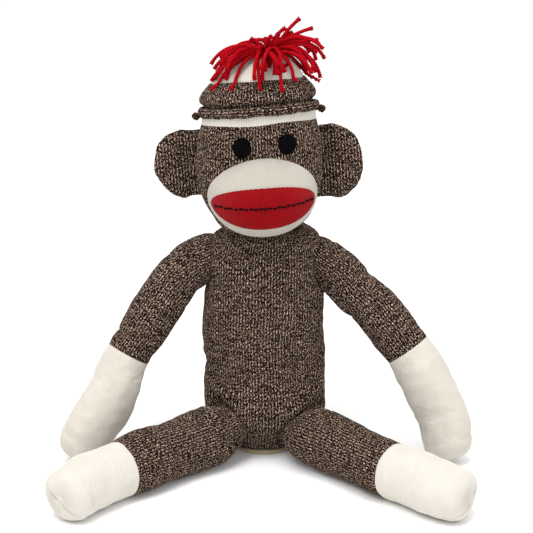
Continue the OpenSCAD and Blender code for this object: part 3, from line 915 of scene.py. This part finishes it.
quick_step = 1
a_axis = np.linspace(-1, 1, 241 // quick_step)
b_axis = np.linspace(-1, 1, 121 // quick_step)
A, B = np.meshgrid(a_axis, b_axis)
grid = muzzle_surface(A, B)
grid = grid + 0.5 * waves(grid, 30, 21)[..., None] * np.array([0, -1, 0]) * (
    1 - np.maximum(np.abs(A), np.abs(B)) ** 4
)[..., None]
muzzle = knit_patch("muzzle", grid, CREAM, 60, 46, 0.28)
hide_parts("muzzle_cover", "muzzle_stuffing")
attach(muzzle, "head")

LIPS_X = -1.0
LIPS_W = 38.2
LIPS_Z = 217.8
LIPS_UP = 14.8
LIPS_DOWN = 14.8


def lips_outline(t):
    """Half width and height of the lips' outline at angle t, blunt at the corners."""
    c, s = np.cos(t), np.sin(t)
    x = LIPS_W * np.sign(c) * np.abs(c) ** 0.86
    up = LIPS_UP * np.abs(s) ** 1.0
    down = -LIPS_DOWN * np.abs(s) ** 1.08
    z = np.where(s > 0, up, down)
    return x, z + 2.2 * (np.abs(c) ** 6) * 0


def lips_piece():
    rows, columns = 29 // quick_step + 1, 288 // quick_step
    t = np.arange(columns) * 2 * math.pi / columns
    ox, oz = lips_outline(t)
    jag = 0.28 * np.sin(t * 72)
    verts, faces, uvs = [], [], []
    shares = np.concatenate([[1.0, 1.008, 1.0], np.linspace(0.975, 0.03, rows)])
    lifts = np.concatenate([[0.05, 0.55, 1.15], np.full(rows, 1.5)])
    ring = []
    for k, (share, lift) in enumerate(zip(shares, lifts)):
        edge = 1 + (jag / 38 if k < 3 else 0)
        x = LIPS_X + ox * share * edge
        z = LIPS_Z + oz * share * edge + (1 - share) * -2.0
        rib = 0.16 * (np.abs(np.sin(math.pi * x / 1.55)) - 0.5) if k > 2 else 0
        puff = 0.9 * ease((1 - share) * 4)
        p = muzzle_at(x, z, (lift + puff + rib)[:, None] if k > 2 else lift)
        ring.append(p)
    q = np.array(ring)
    flat = np.stack([(q[..., 0]) / 1.55, q[..., 2] / 1.2], -1)
    m, n = q.shape[:2]
    faces = grid_faces(m, n)[:, ::-1]
    uv = flat.reshape(-1, 2)[faces.reshape(-1)]
    centre = q[-1].mean(axis=0)
    verts = np.concatenate([q.reshape(-1, 3), [centre]])
    cap = [[m * n, (m - 1) * n + (j + 1) % n, (m - 1) * n + j][::-1] for j in range(n)]
    fc = np.array([centre[0] / 1.55, centre[2] / 1.2])
    cap_uv = []
    for f in cap:
        for index in f:
            cap_uv.append(fc if index == m * n else flat.reshape(-1, 2)[index])
    return make_object(
        "lips_knit", on_head(slope_back(verts)), faces.tolist() + cap, np.concatenate([uv, cap_uv]),
        RED
    )


lips = lips_piece()
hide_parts("lips")
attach(lips, "head")

stitch_paths = []
STITCHES = 21
for i in range(STITCHES):
    pitch = 70.0 / STITCHES
    x0 = LIPS_X - 35 + pitch * (i + 0.16) + rng.uniform(-0.15, 0.15)
    x1 = x0 + pitch * 0.7
    points = []
    for k in range(9):
        f = k / 8
        x = x0 + (x1 - x0) * f
        z = LIPS_Z + 1.8 - 0.9 * (abs(x - LIPS_X) / 36) ** 2 + (0.25 if i % 2 else -0.15)
        points.append(muzzle_at(np.array(x), np.array(z), 2.0 + 1.1 * math.sin(math.pi * f) ** 0.6))
    stitch_paths.append(on_head(slope_back(np.array(points))))
stitches = yarn_tube("mouth_stitches", stitch_paths, 0.8, BLACK_THREAD, plies=2, pitch=2.2)
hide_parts("mouth_stitching")
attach(stitches, "head")

# ---------------------------------------------------------------- eyes
for name, side in (("left", 1), ("right", -1)):
    lo, hi = (mm(c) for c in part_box("eye_" + name))
    radius = (hi[2] - lo[2]) / 2 - 0.9
    centre = (lo + hi) / 2
    local = unslope((centre - NECK) @ HEAD_AXES.T + NECK)
    cx, cz = local[0], local[2]
    columns, rows = 96, 22
    t = np.arange(columns) * 2 * math.pi / columns
    verts = []
    for k in range(rows):
        s = math.cos(math.pi / 2 * max(0, k - 3) / (rows - 4)) if k >= 3 else 1.0
        lift = (0.0, 0.7, 1.25)[k] if k < 3 else 1.35 + 0.55 * (1 - s * s)
        wobble = 1 + 0.012 * np.sin(t * 9 + side) + 0.01 * np.sin(t * 23)
        x = cx + radius * max(s, 0.02) * np.cos(t) * wobble
        z = cz + radius * max(s, 0.02) * np.sin(t) * wobble
        base = np.stack([x, head_front(x, z), z], -1)
        verts.append(base + np.array([0.38 * np.sign(cx) * abs(cx) / 18, -1, 0.12]) * lift)
    q = on_head(slope_back(np.array(verts)))
    m, n = q.shape[:2]
    faces = grid_faces(m, n)[:, ::-1]
    centre_point = q[-1].mean(axis=0)
    uv_point = np.stack([q[..., 0], q[..., 2]], -1).reshape(-1, 2)
    cap = [[m * n, (m - 1) * n + j, (m - 1) * n + (j + 1) % n] for j in range(n)]
    uv_all = np.concatenate([uv_point, [[centre_point[0], centre_point[2]]]])
    faces = faces.tolist() + cap
    uvs = uv_all[np.array([i for f in faces for i in f])]
    eye = make_object(
        "eye_felt_" + name, np.concatenate([q.reshape(-1, 3), [centre_point]]), faces, uvs, FELT
    )
    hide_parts("eye_" + name)
    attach(eye, "head")

# ---------------------------------------------------------------- ears
for name, side in (("left", 1), ("right", -1)):
    lo, hi = (mm(c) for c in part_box("ear_%s_cover" % name))
    root = (pivot("ear_%s_fold" % name) - NECK) @ HEAD_AXES.T + NECK
    root[2] -= 1.6 if side > 0 else 2.6
    half_h = 30.4 if side > 0 else 27.6
    reach = 28.6
    columns, rows_n = 200 // quick_step, 90 // quick_step
    t = np.arange(columns) * 2 * math.pi / columns
    x = np.concatenate(
        [
            [-11.0, -10.4, -9.0, -6.0], np.linspace(-3.0, reach * 0.72, rows_n * 6 // 10),
            reach * (1 - (np.linspace(0.28**0.5, 0.02, rows_n * 4 // 10) ** 2))
        ]
    )
    rows = []
    for xx in x:
        share = max(0.0, xx) / reach
        h = half_h * (1 - share**2.9) ** 0.5 * (1 - 0.05 * ease(1 - xx / 7.0)) * np.interp(
            xx, [-11, -10.4, -9], [0.3, 0.8, 1]
        )
        thick = 2.3 + 4.6 * ease(xx / 13.0)
        thick *= (1 - share**2.4) ** 0.55
        c, sn = np.cos(t), np.sin(t)
        # a soft pillow, fuller on the back, with the face dished
        yy = thick * np.sign(c) * np.abs(c) ** 0.85
        zz = h * np.sign(sn) * np.abs(sn) ** 0.9 * (
            1 - (0.3 * share**2 * (sn < 0) if side < 0 else 0.06 * share * (sn > 0))
        )
        dish = 2.8 * np.exp(-(((xx - 10) / 6.0) ** 2)) * np.maximum(0, -c) * (1 - (zz / half_h) ** 2)
        curl = -1.6 * share**2 + 1.2 * (zz / half_h) ** 2 * share - 4.0 * ease((xx - 1) / 9)
        rows.append(np.stack([np.full(columns, side * xx), yy + dish + curl, zz], -1))
    q = np.array(rows) + root
    n_norm = grid_normals(q)
    q = q + n_norm * (0.55 * waves(q, 17, 31 + side) + 0.2 * waves(q, 8, 35 + side))[..., None]
    u = side * (q[..., 0] - root[0]) / WALE + 40
    v = (q[..., 2] - root[2]) / COURSE + 40
    rib = np.abs(np.sin(math.pi * u)) * 1.1
    q = on_head(q + n_norm * (0.25 * (rib - 0.5))[..., None])
    m, n = q.shape[:2]
    flat_uv = np.stack([u, v], -1).reshape(-1, 2)
    faces = grid_faces(m, n).tolist()
    verts = q.reshape(-1, 3)
    extra = [q[0].mean(axis=0), q[-1].mean(axis=0)]
    uv_all = np.concatenate([flat_uv, [flat_uv[:n].mean(axis=0), flat_uv[-n:].mean(axis=0)]])
    for j in range(n):
        faces.append([m * n, (j + 1) % n, j])
        faces.append([m * n + 1, (m - 1) * n + j, (m - 1) * n + (j + 1) % n])
    uvs = uv_all[np.concatenate([np.array(f) for f in faces])]
    ear = make_object("ear_" + name, np.concatenate([verts, extra]), faces, uvs, MARL)
    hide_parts("ear_%s_cover" % name, "ear_%s_stuffing" % name)
    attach(ear, "ear_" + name)

# ---------------------------------------------------------------- neck
t_rows = [
    (NECK[2] + 23.5 * math.sin(math.radians(k)), *[23.5 * math.cos(math.radians(k))] * 2)
    for k in range(-72, 73, 12)
]
neck = knit_tube(
    "neck", ring_rows([(z, -a, a, -b, b) for z, a, b in t_rows]), MARL, 60, course=COURSE,
    relief=0.25
)
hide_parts("neck_stuffing")
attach(neck, "neck")
ring_t = np.linspace(0, 2 * math.pi, 60)
cord_path = np.stack([24.2 * np.cos(ring_t), 24.2 * np.sin(ring_t), NECK[2] + 0.5 * np.sin(5 * ring_t)], -1)
drawstring = yarn_tube("neck_gather", [cord_path], 0.9, THREAD, plies=2, pitch=3)
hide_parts("neck_drawstring")
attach(drawstring, "neck")

# ---------------------------------------------------------------- hat
brim_lo, brim_hi = (mm(c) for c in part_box("hat_brim"))
HAT_W = (brim_hi[0] - brim_lo[0]) / 2
HAT_DEPTH = 0.93  # front to back, as a share of the width
BRIM_Z = 279.6


def hat_grid(rows, count=64):
    return ring_rows([(z, -a, a, -a * HAT_DEPTH, a * HAT_DEPTH) for z, a in rows], count, 2.15)


def hat_shape(q, u, v):
    n = grid_normals(q)
    push = 0.5 * waves(q, 26, 41) + 0.35 * waves(q, 11, 42)
    # the dent where the band is tacked, at the toy's left
    gap = np.linalg.norm(q - np.array([41, -16, 291]), axis=-1)
    push -= 4.5 * np.exp(-((gap / 5.5) ** 2))
    return on_head(slope_back(q + n * push[..., None]))


band_rows = [
    (282.5, 41.5), (284.6, 42.6), (286.6, 44.9), (290, 45.2), (293, 43.6), (296, 41.4), (299, 38.8),
    (301, 37.2), (301.8, 36.0)
]
band = knit_tube(
    "hat_band_knit", hat_grid(band_rows), MARL, 114, per_wale=3, per_course=2, course=COURSE,
    shape=hat_shape, caps=(False, False)
)
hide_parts("hat_band")
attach(band, "head")

# The brim is rolled, so its wales run round the roll
brim_rows = []
for k in range(0, 17):
    a = math.radians(-250 + 320 * k / 16)
    brim_rows.append((BRIM_Z - 0.4 + 4.2 * math.sin(a), HAT_W - 4.0 + 4.7 * math.cos(a)))
brim = knit_tube(
    "hat_brim_roll", hat_grid(brim_rows), MARL, 114, per_wale=3, course=COURSE, relief=0.5,
    shape=hat_shape, caps=(False, False), turned=True
)
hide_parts("hat_brim")
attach(brim, "head")


def dome_shape(q, u, v):
    n = grid_normals(q)
    z = q[..., 2]
    angle = np.arctan2(q[..., 1], q[..., 0])
    gather = ease((z - 306) / 20)
    push = 0.5 * waves(q, 20, 43) + gather * 0.9 * np.sin(angle * 17 + 1.3 * np.sin(angle * 3))
    return on_head(slope_back(q + n * push[..., None]))


dome_rows = [
    (300.5, 36.2), (303, 35.8), (307, 33.4), (312, 29.4), (317, 24.6), (321.5, 19), (325, 12.5),
    (327.3, 6.5), (328, 2.5)
]
dome = knit_tube(
    "hat_dome_knit", hat_grid(dome_rows), FINE_CREAM, 110, per_wale=3, course=1.8, relief=0.22,
    shape=dome_shape, caps=(False, True)
)
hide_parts("hat_dome")
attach(dome, "head")

for name, side in (("left", 1), ("right", -1)):
    centre = np.array([side * (HAT_W + 2.6), -1.0, BRIM_Z - (4.6 if side > 0 else 3.0)])
    paths = []
    for turn in range(3):
        axis = np.array([[1, 0.2, 0.3], [0.2, 1, 0.5], [0.3, -0.4, 1]][turn], float)
        axis /= np.linalg.norm(axis)
        a0 = np.cross(axis, [0, 0.3, 1])
        a0 /= np.linalg.norm(a0)
        b0 = np.cross(axis, a0)
        tt = np.linspace(0, 2 * math.pi, 26)
        paths.append(
            on_head(
                slope_back(centre + 2.2 * (np.cos(tt)[:, None] * a0 + np.sin(tt)[:, None] * b0))
            )
        )
    for k in range(4):
        a0 = centre + np.array([-side * 1.5, 0, 0])
        b0 = centre + np.array([-side * 8.5, (k - 1.5) * 1.2, (k % 2) * 1.6 - 0.4])
        paths.append(on_head(slope_back(a0 + (b0 - a0) * np.linspace(0, 1, 10)[:, None])))
    knot = yarn_tube("hat_tack_" + name, paths, 1.35, BROWN_YARN, plies=2, pitch=2.6)
    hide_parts("hat_knot_" + name)
    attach(knot, "head")

# ---------------------------------------------------------------- pompom
TIE = np.array([6.0, -10.0, 320.0])
strands = []
strand_rng = random.Random(23)


def strand(direction, rise, length, droop, curl=0.0):
    """One length of yarn that leaves the tie, arches and falls over the hat."""
    d = np.array([math.cos(direction), math.sin(direction), 0.0])
    sidev = np.array([-d[1], d[0], 0.0])
    n = 26
    p = TIE + d * strand_rng.uniform(0.5, 2.5) + np.array([0, 0, strand_rng.uniform(-1.0, 2.5)])
    heading = math.radians(rise)
    points = [p.copy()]
    yaw = 0.0
    for k in range(n):
        f = k / n
        step = length / n
        heading -= math.radians(droop) * step / 10
        heading = max(heading, math.radians(-86))
        yaw += curl * step / 10
        dd = d * math.cos(yaw) + sidev * math.sin(yaw)
        p = p + step * (dd * math.cos(heading) + np.array([0, 0, 1.0]) * math.sin(heading))
        # keep outside the hat
        r = math.hypot(p[0], p[1] / 0.93)
        zs = [296, 301, 303, 307, 312, 317, 321.5, 325, 328, 330]
        rs = [47.8, 40.5, 37.8, 35.4, 31.4, 26.6, 21, 14.8, 6, 0]
        limit = np.interp(p[2], zs, rs) + 1.2
        if r < limit and p[2] < 330:
            push = limit / max(r, 1e-3)
            p[0] *= push
            p[1] *= push
        points.append(p.copy())
    return np.array(points)


# (count, direction, spread, rise, spread, length, spread, droop)
for count, toward, fan, rise, rise_fan, length, length_fan, droop in (
    (14, -2, 36, 40, 20, 44, 8, 25),
    (11, 188, 30, 34, 16, 45, 8, 22),
    (18, 262, 50, 22, 24, 37, 12, 30),
    (12, 92, 50, 44, 20, 38, 7, 27),
    (9, 270, 170, 60, 16, 20, 6, 22),
):
    for k in range(count):
        strands.append(
            strand(
                math.radians(toward + fan * (2 * (k + 0.5) / count - 1) + strand_rng.uniform(-5, 5)),
                rise + strand_rng.uniform(-rise_fan, rise_fan),
                length + strand_rng.uniform(-length_fan, length_fan),
                droop + strand_rng.uniform(-4, 4),
                curl=strand_rng.uniform(-0.32, 0.32),
            )
        )
strands.append(strand(math.radians(5), 66, 35, 9))
strands.append(strand(math.radians(0), 50, 38, 11))
strands.append(strand(math.radians(-8), 38, 37, 12))
strands.append(strand(math.radians(160), 60, 17, 14))
for direction, size in ((math.radians(200), 8.0), (math.radians(-38), 9.0), (math.radians(-75), 7.0)):
    d = np.array([math.cos(direction), math.sin(direction), 0])
    tt = np.linspace(0, 2 * math.pi, 30)
    loop = TIE + d * (size * 1.25 * (1 - np.cos(tt)))[:, None] + np.array([0, 0, 1]) * (
        size * 0.62 * np.sin(tt) - 0.26 * size * (1 - np.cos(tt)) * 1.3
    )[:, None] + np.array([-d[1], d[0], 0]) * (1.5 * np.sin(tt))[:, None]
    strands.append(loop)
head_strands = [on_head(slope_back(p)) for p in strands]
pompom = yarn_tube(
    "pompom_yarn", head_strands, 1.6, YARN, plies=3, pitch=6.0, sides=7,
    fray=0.7
)
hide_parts("pompom")
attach(pompom, "head")
wraps = []
for k in range(4):
    tt = np.linspace(0, 2 * math.pi, 30)
    wraps.append(
        on_head(
            slope_back(
                TIE + np.stack(
                    [3.2 * np.cos(tt), 1.1 * (k - 1.5) + 0.4 * np.sin(tt), 3.0 * np.sin(tt) + 0.6],
                    -1
                )
            )
        )
    )
tie = yarn_tube("pompom_wrap", wraps, 1.2, YARN, plies=3, pitch=5.2)
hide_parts("pompom_tie")
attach(tie, "head")


# ---------------------------------------------------------------- arms, legs and tail
def settle(q, floor=0.3, soft=1.1):
    """Knit that would sink into the floor spreads on it instead."""
    q = q.copy()
    q[..., 2] = floor + soft * np.logaddexp(0, (q[..., 2] - floor) / soft)
    return q


def bowed_path(start, end, bows, plane_normal):
    """A centre line from start to end, with rows of (share of the way, sideways bow)."""
    start, end = np.asarray(start, float), np.asarray(end, float)
    side = np.cross(np.asarray(plane_normal, float), end - start)
    side /= np.linalg.norm(side)
    return [start + (end - start) * share + side * bow for share, bow in bows]


def limb(
    label, body, points, radii, ref, cuff, wales, fine_wales, covers, ends, seed, flats=1.0,
    seam=None, on_floor=False, end_depth=0.95, end_power=1.0, lift=None, knit=None
):
    """A stuffed limb: marl sleeve and cream end over one smooth sweep. The sleeve is tucked into the end."""
    steps = 90
    path, share = smooth_path(points, steps)
    rad = hermite([r[0] for r in radii], np.array([[r[1]] for r in radii]), share)[:, 0]
    if on_floor:
        rest = rad + 0.2
        path[:, 2] = path[:, 2] + (rest - path[:, 2]) * ease(share * 4)
    whole = sweep(path, rad, ref, 48, np.interp(share, [0, cuff, 1], [1.0, 1.0, flats]), end_depth, end_power)
    cuff_row = 5 + int(cuff * steps)
    tuck = 4
    # the filling holds the root, and the seams hold the cuff and the tip
    order = np.arange(len(whole))
    held = np.maximum(1 - order / 8, np.maximum(1 - np.abs(order - cuff_row) / 3, 1 - order[::-1] / 8))
    puffed = stuffed(whole, np.clip(held, 0, 1)[:, None] * np.ones(whole.shape[:2]), cap=2.0)
    loose = np.interp(order, [cuff_row - 6, cuff_row + 2], [0.7, 0.3])[:, None, None]
    whole = whole + (puffed - whole) * loose

    def fullness(q):
        return 0.6 * waves(q, 36, seed) + 0.32 * waves(q, 13, seed + 1)

    def sleeve_shape(q, u, v):
        step = np.linalg.norm(np.diff(q, axis=0), axis=2).mean()
        left = (np.arange(q.shape[0])[::-1] * step)[:, None]
        q = q + grid_normals(q) * (fullness(q) - 1.5 * ease(1 - left / 6.5))[..., None]
        if lift is not None:
            q = lift(q)
        return settle(q)

    def end_shape(q, u, v):
        n = grid_normals(q)
        step = np.linalg.norm(np.diff(q, axis=0), axis=2).mean()
        gone = (np.arange(q.shape[0]) * step)[:, None]
        push = fullness(q) + 0.35 * ease(gone / 1.5)
        d = path[-1] - path[-4]
        d /= np.linalg.norm(d)
        if seam is not None:
            # the sewn toe: a groove across the end with a low roll on each side of it
            tilt, offset = seam
            across = np.cross(d, np.asarray(ref, float))
            across /= np.linalg.norm(across)
            up = np.cross(across, d)
            rel = q - path[-1]
            height = rel @ (up * math.cos(tilt) + across * math.sin(tilt)) - offset
            depth = rel @ d
            near = ease((depth + 9) / 10)
            push = push - 1.2 * np.exp(-((height / 0.8) ** 2)) * near + 0.4 * np.exp(
                -(((np.abs(height) - 2.0) / 1.4) ** 2)
            ) * near
            # gathers that run into the seam
            angle = np.arctan2(rel @ up, rel @ across)
            push = push + 0.1 * np.sin(angle * 22) * ease((depth + 4) / 8) * np.exp(-((height / 6) ** 2))
        q = q + n * push[..., None]
        return settle(q)

    cover = knit_tube(
        label + "_sleeve", whole[: cuff_row + tuck], MARL, wales, per_wale=3, per_course=2,
        course=COURSE, shape=sleeve_shape, caps=(True, False)
    )
    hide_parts(*covers)
    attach(cover, body)
    tip = knit_tube(
        label + "_end", whole[cuff_row:], knit or FINE_CREAM, fine_wales,
        per_wale=3, per_course=2, course=1.7, relief=0.24,
        shape=end_shape, caps=(False, True),
    )
    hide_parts(*ends)
    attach(tip, body)


ARM_DROP = 0.287
for name, side, bows, radii, cuff, seed in (
    (
        "left", 1,
        [(-0.05, -5.6), (0.01, -1.8), (0.08, 1.4), (0.17, 4.0),
         (0.26, 8.0), (0.36, 11.0), (0.46, 13.2), (0.57, 14.5),
         (0.66, 13.6), (0.76, 11.6), (0.86, 9.0), (0.94, 5.4), (1.0, 1.5)],
        [(0, 16.5), (0.08, 17.6), (0.18, 18.6), (0.3, 18.9),
         (0.45, 18.7), (0.56, 18.5), (0.66, 19.8), (0.76, 20.2),
         (0.88, 19.8), (0.96, 20.0), (1, 19.2)],
        0.556, 51,
    ),
    (
        "right", -1,
        [(-0.05, -5.4), (0, 0), (0.08, 4.5), (0.165, 6.9), (0.3, 7.3), (0.45, 7.2), (0.55, 6.6), (0.63, 4.8),
         (0.7, 1.6), (0.78, 0.1), (0.88, -0.2), (1.0, 0)],
        [(0, 18.2), (0.08, 18.4), (0.18, 18.7), (0.3, 18.9),
         (0.42, 18.6), (0.56, 17.3), (0.66, 18.8), (0.74, 19.8),
         (0.83, 20.9), (0.9, 20.7), (0.96, 20.0), (1, 18.6)],
        0.556, 57,
    ),
):
    start = shoulder * [side, 1, 1]
    hand_lo, hand_hi = (mm(c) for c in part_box("hand_" + name))
    tip_x = (hand_hi[0] if side > 0 else hand_lo[0]) - side * 20.2
    tip_z = hand_lo[2] + 17.5
    tip = np.array([tip_x, start[1] + (tip_z - start[2]) * ARM_DROP, tip_z])
    limb(
        "arm_" + name, "arm_" + name, bowed_path(
            start, tip, bows, (0, -side, side * ARM_DROP)
        ), radii, (0, 1, 0), cuff,
        48, 72, ("arm_%s_cover" % name, "arm_%s_stuffing" % name), ("hand_" + name,), seed, flats=0.92,
        seam=(math.radians(-20 * side), -2.5), end_depth=0.8, end_power=0.85,
    )


def thigh(side):
    """Folds of the thigh where it meets the body."""

    def shape(q):
        n = grid_normals(q)
        rel = q - hip * [side, 1, 1]
        out = np.array([side * 0.69, -0.72, 0])
        along = rel @ out
        high = ease((q[..., 2] - 20) / 18)
        fold = np.exp(-(((along - 9 - 0.10 * rel[..., 0] * side) / 2.2) ** 2)) * 1.3
        fold += np.exp(-(((along - 24 + 0.2 * rel[..., 0] * side) / 3.0) ** 2)) * 0.7
        return q - n * (fold * high)[..., None]

    return shape


for name, side, bows, radii, cuff, seed in (
    (
        "left", 1,
        [
            (-0.06, 0), (0, 0), (0.12, 1.5), (0.27, 2.0), (0.37, 0.8), (0.46, 0), (0.6, -1.4),
            (0.75, -1.8), (0.9, -2.2), (0.97, -1.2), (1, 0)
        ],
        [
            (0, 14.5), (0.05, 17.5), (0.1, 21.2), (0.16, 23.2), (0.22, 23.2), (0.3, 22.6),
            (0.45, 21.4), (0.62, 21.3), (0.72, 21.2), (0.9, 21.0), (1, 20.3)
        ],
        0.654, 61,
    ),
    (
        "right", -1,
        [
            (-0.06, 0), (0, 0), (0.1, -2), (0.25, -5), (0.39, -6.5), (0.55, -5.9), (0.65, -6.5),
            (0.8, -6.4), (0.89, -4.5), (0.96, -2.2), (1, -0.7)
        ],
        [
            (0, 14.5), (0.05, 17.5), (0.1, 21.2), (0.16, 23.4), (0.22, 23.2), (0.35, 22.2),
            (0.48, 22.5), (0.56, 22.7), (0.65, 21.6), (0.75, 21.0), (0.9, 20.7), (1, 20.0)
        ],
        0.668, 67,
    ),
):
    start = np.array([side * hip[0], hip[1], 26.0 if side > 0 else 30.0])
    foot_lo, foot_hi = (mm(c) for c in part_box("foot_" + name))
    end = np.array([(foot_hi[0] if side > 0 else foot_lo[0]) - side * 14.5, foot_lo[1] + 15.5, 20.5])
    limb(
        "leg_" + name, "leg_" + name, bowed_path(start, end, bows, (0, 0, 1)), radii, (0, 0, 1), cuff,
        58, 82, ("leg_%s_cover" % name, "leg_%s_stuffing" % name), ("foot_" + name,), seed, flats=0.98,
        seam=(
            math.radians(36 * side), -1.0
        ), on_floor=True, knit=FEET_CREAM_PAINTED_LIGHT, end_depth=0.6, end_power=0.62, lift=thigh(side),
    )

tail_root = pivot("tail_swing")
tail_points = [
    tail_root + np.array(o)
    for o in (
        (0, -6, 4), (0, 0, 0), (0, 15, -8.4), (-0.6, 31.5, -15.5), (0.8, 45.5, -19),
        (5.2, 55.4, -20), (14, 60.3, -20), (24, 61, -20), (32, 60, -20)
    )
]
tail_radii = [(0, 9.4), (0.1, 9.6), (0.5, 9.2), (0.75, 9.0), (1, 8.6)]
limb(
    "tail", "tail", tail_points, tail_radii, (0, 0.1, 1), 0.72, 25, 38,
    ("tail_cover", "tail_stuffing"), ("tail_tip",), 71,
)

# Sewing thread at the roots: small hoops of stitches between the two layers of knit
for node, body, centre, out, radius, spread in (
    ("shoulder_thread_left", "shoulder_left", shoulder, (-1, 0.3, 0), 15, 35),
    ("shoulder_thread_right", "shoulder_right", shoulder * [-1, 1, 1], (1, 0.3, 0), 15, 35),
    ("hip_thread_left", "hip_left", hip, (-0.65, 0.65, 0.38), 20, 20),
    ("hip_thread_right", "hip_right", hip * [-1, 1, 1], (0.65, 0.65, 0.38), 20, 20),
    ("tail_thread", "tail_root", tail_root, (0, -1, 0.2), 9, 32),
):
    out = np.array(out, float)
    out /= np.linalg.norm(out)
    a0 = np.cross(out, [0.1, 0.2, 1])
    a0 /= np.linalg.norm(a0)
    b0 = np.cross(out, a0)
    tt = np.linspace(0, 2 * math.pi, 80)
    reach = radius + 1.1
    k = math.radians(spread)
    wob = 1 + 0.04 * np.sin(tt * 12)
    path = (
        centre + out * reach * math.cos(k)
        + reach * math.sin(k) * (wob * np.cos(tt))[:, None] * a0
        + reach * math.sin(k) * (wob * np.sin(tt))[:, None] * b0
    )
    thread = yarn_tube(node + "_stitches", [path], 0.7, THREAD, plies=2, pitch=2.4)
    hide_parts(node)
    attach(thread, body)

# Pellet pouch: a gathered cotton bag in the seat
pouch_lo, pouch_hi = (mm(c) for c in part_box("pellet_pouch"))
pr = (pouch_hi[0] - pouch_lo[0]) / 2
pc = (pouch_lo + pouch_hi) / 2
pouch_rows = [
    (pouch_lo[2] + h, pr * k)
    for h, k in (
        (0.4, 0.4), (0.9, 0.8), (4, 0.96), (10, 1.0), (16, 0.94), (20, 0.75), (21.6, 0.4),
        (21.9, 0.1)
    )
]
pouch_grid = ring_rows([(z, pc[0] - a, pc[0] + a, pc[1] - a, pc[1] + a) for z, a in pouch_rows])


def pouch_shape(q, u, v):
    n = grid_normals(q)
    angle = np.arctan2(q[..., 1] - pc[1], q[..., 0])
    return q + n * (0.6 * waves(q, 9, 81) + 0.5 * np.sin(angle * 14) * ease((q[..., 2] - 14) / 8))[..., None]


pouch = knit_tube(
    "pellet_bag", pouch_grid, BEIGE, 60, per_wale=2, per_course=2, course=2.2, relief=0.1,
    shape=pouch_shape
)
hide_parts("pellet_pouch")
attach(pouch, "torso")

# ---------------------------------------------------------------- floor
floor_material = Shader("floor")
soft_spots = floor_material.noise(floor_material.place(), 6.0, 2.0, 0.5)
floor_tone = floor_material.ramp(soft_spots, [(0.3, srgb(254, 254, 254)), (0.7, srgb(255, 255, 255))])
floor_material.finish(floor_tone, 0.9)
floor_mesh = bpy.data.meshes.new("floor")
floor_mesh.from_pydata([(-6, -3, 0), (6, -3, 0), (6, 9, 0), (-6, 9, 0)], [], [[0, 1, 2, 3]])
floor_mesh.materials.append(floor_material.material)
floor = bpy.data.objects.new("floor", floor_mesh)
bpy.context.collection.objects.link(floor)
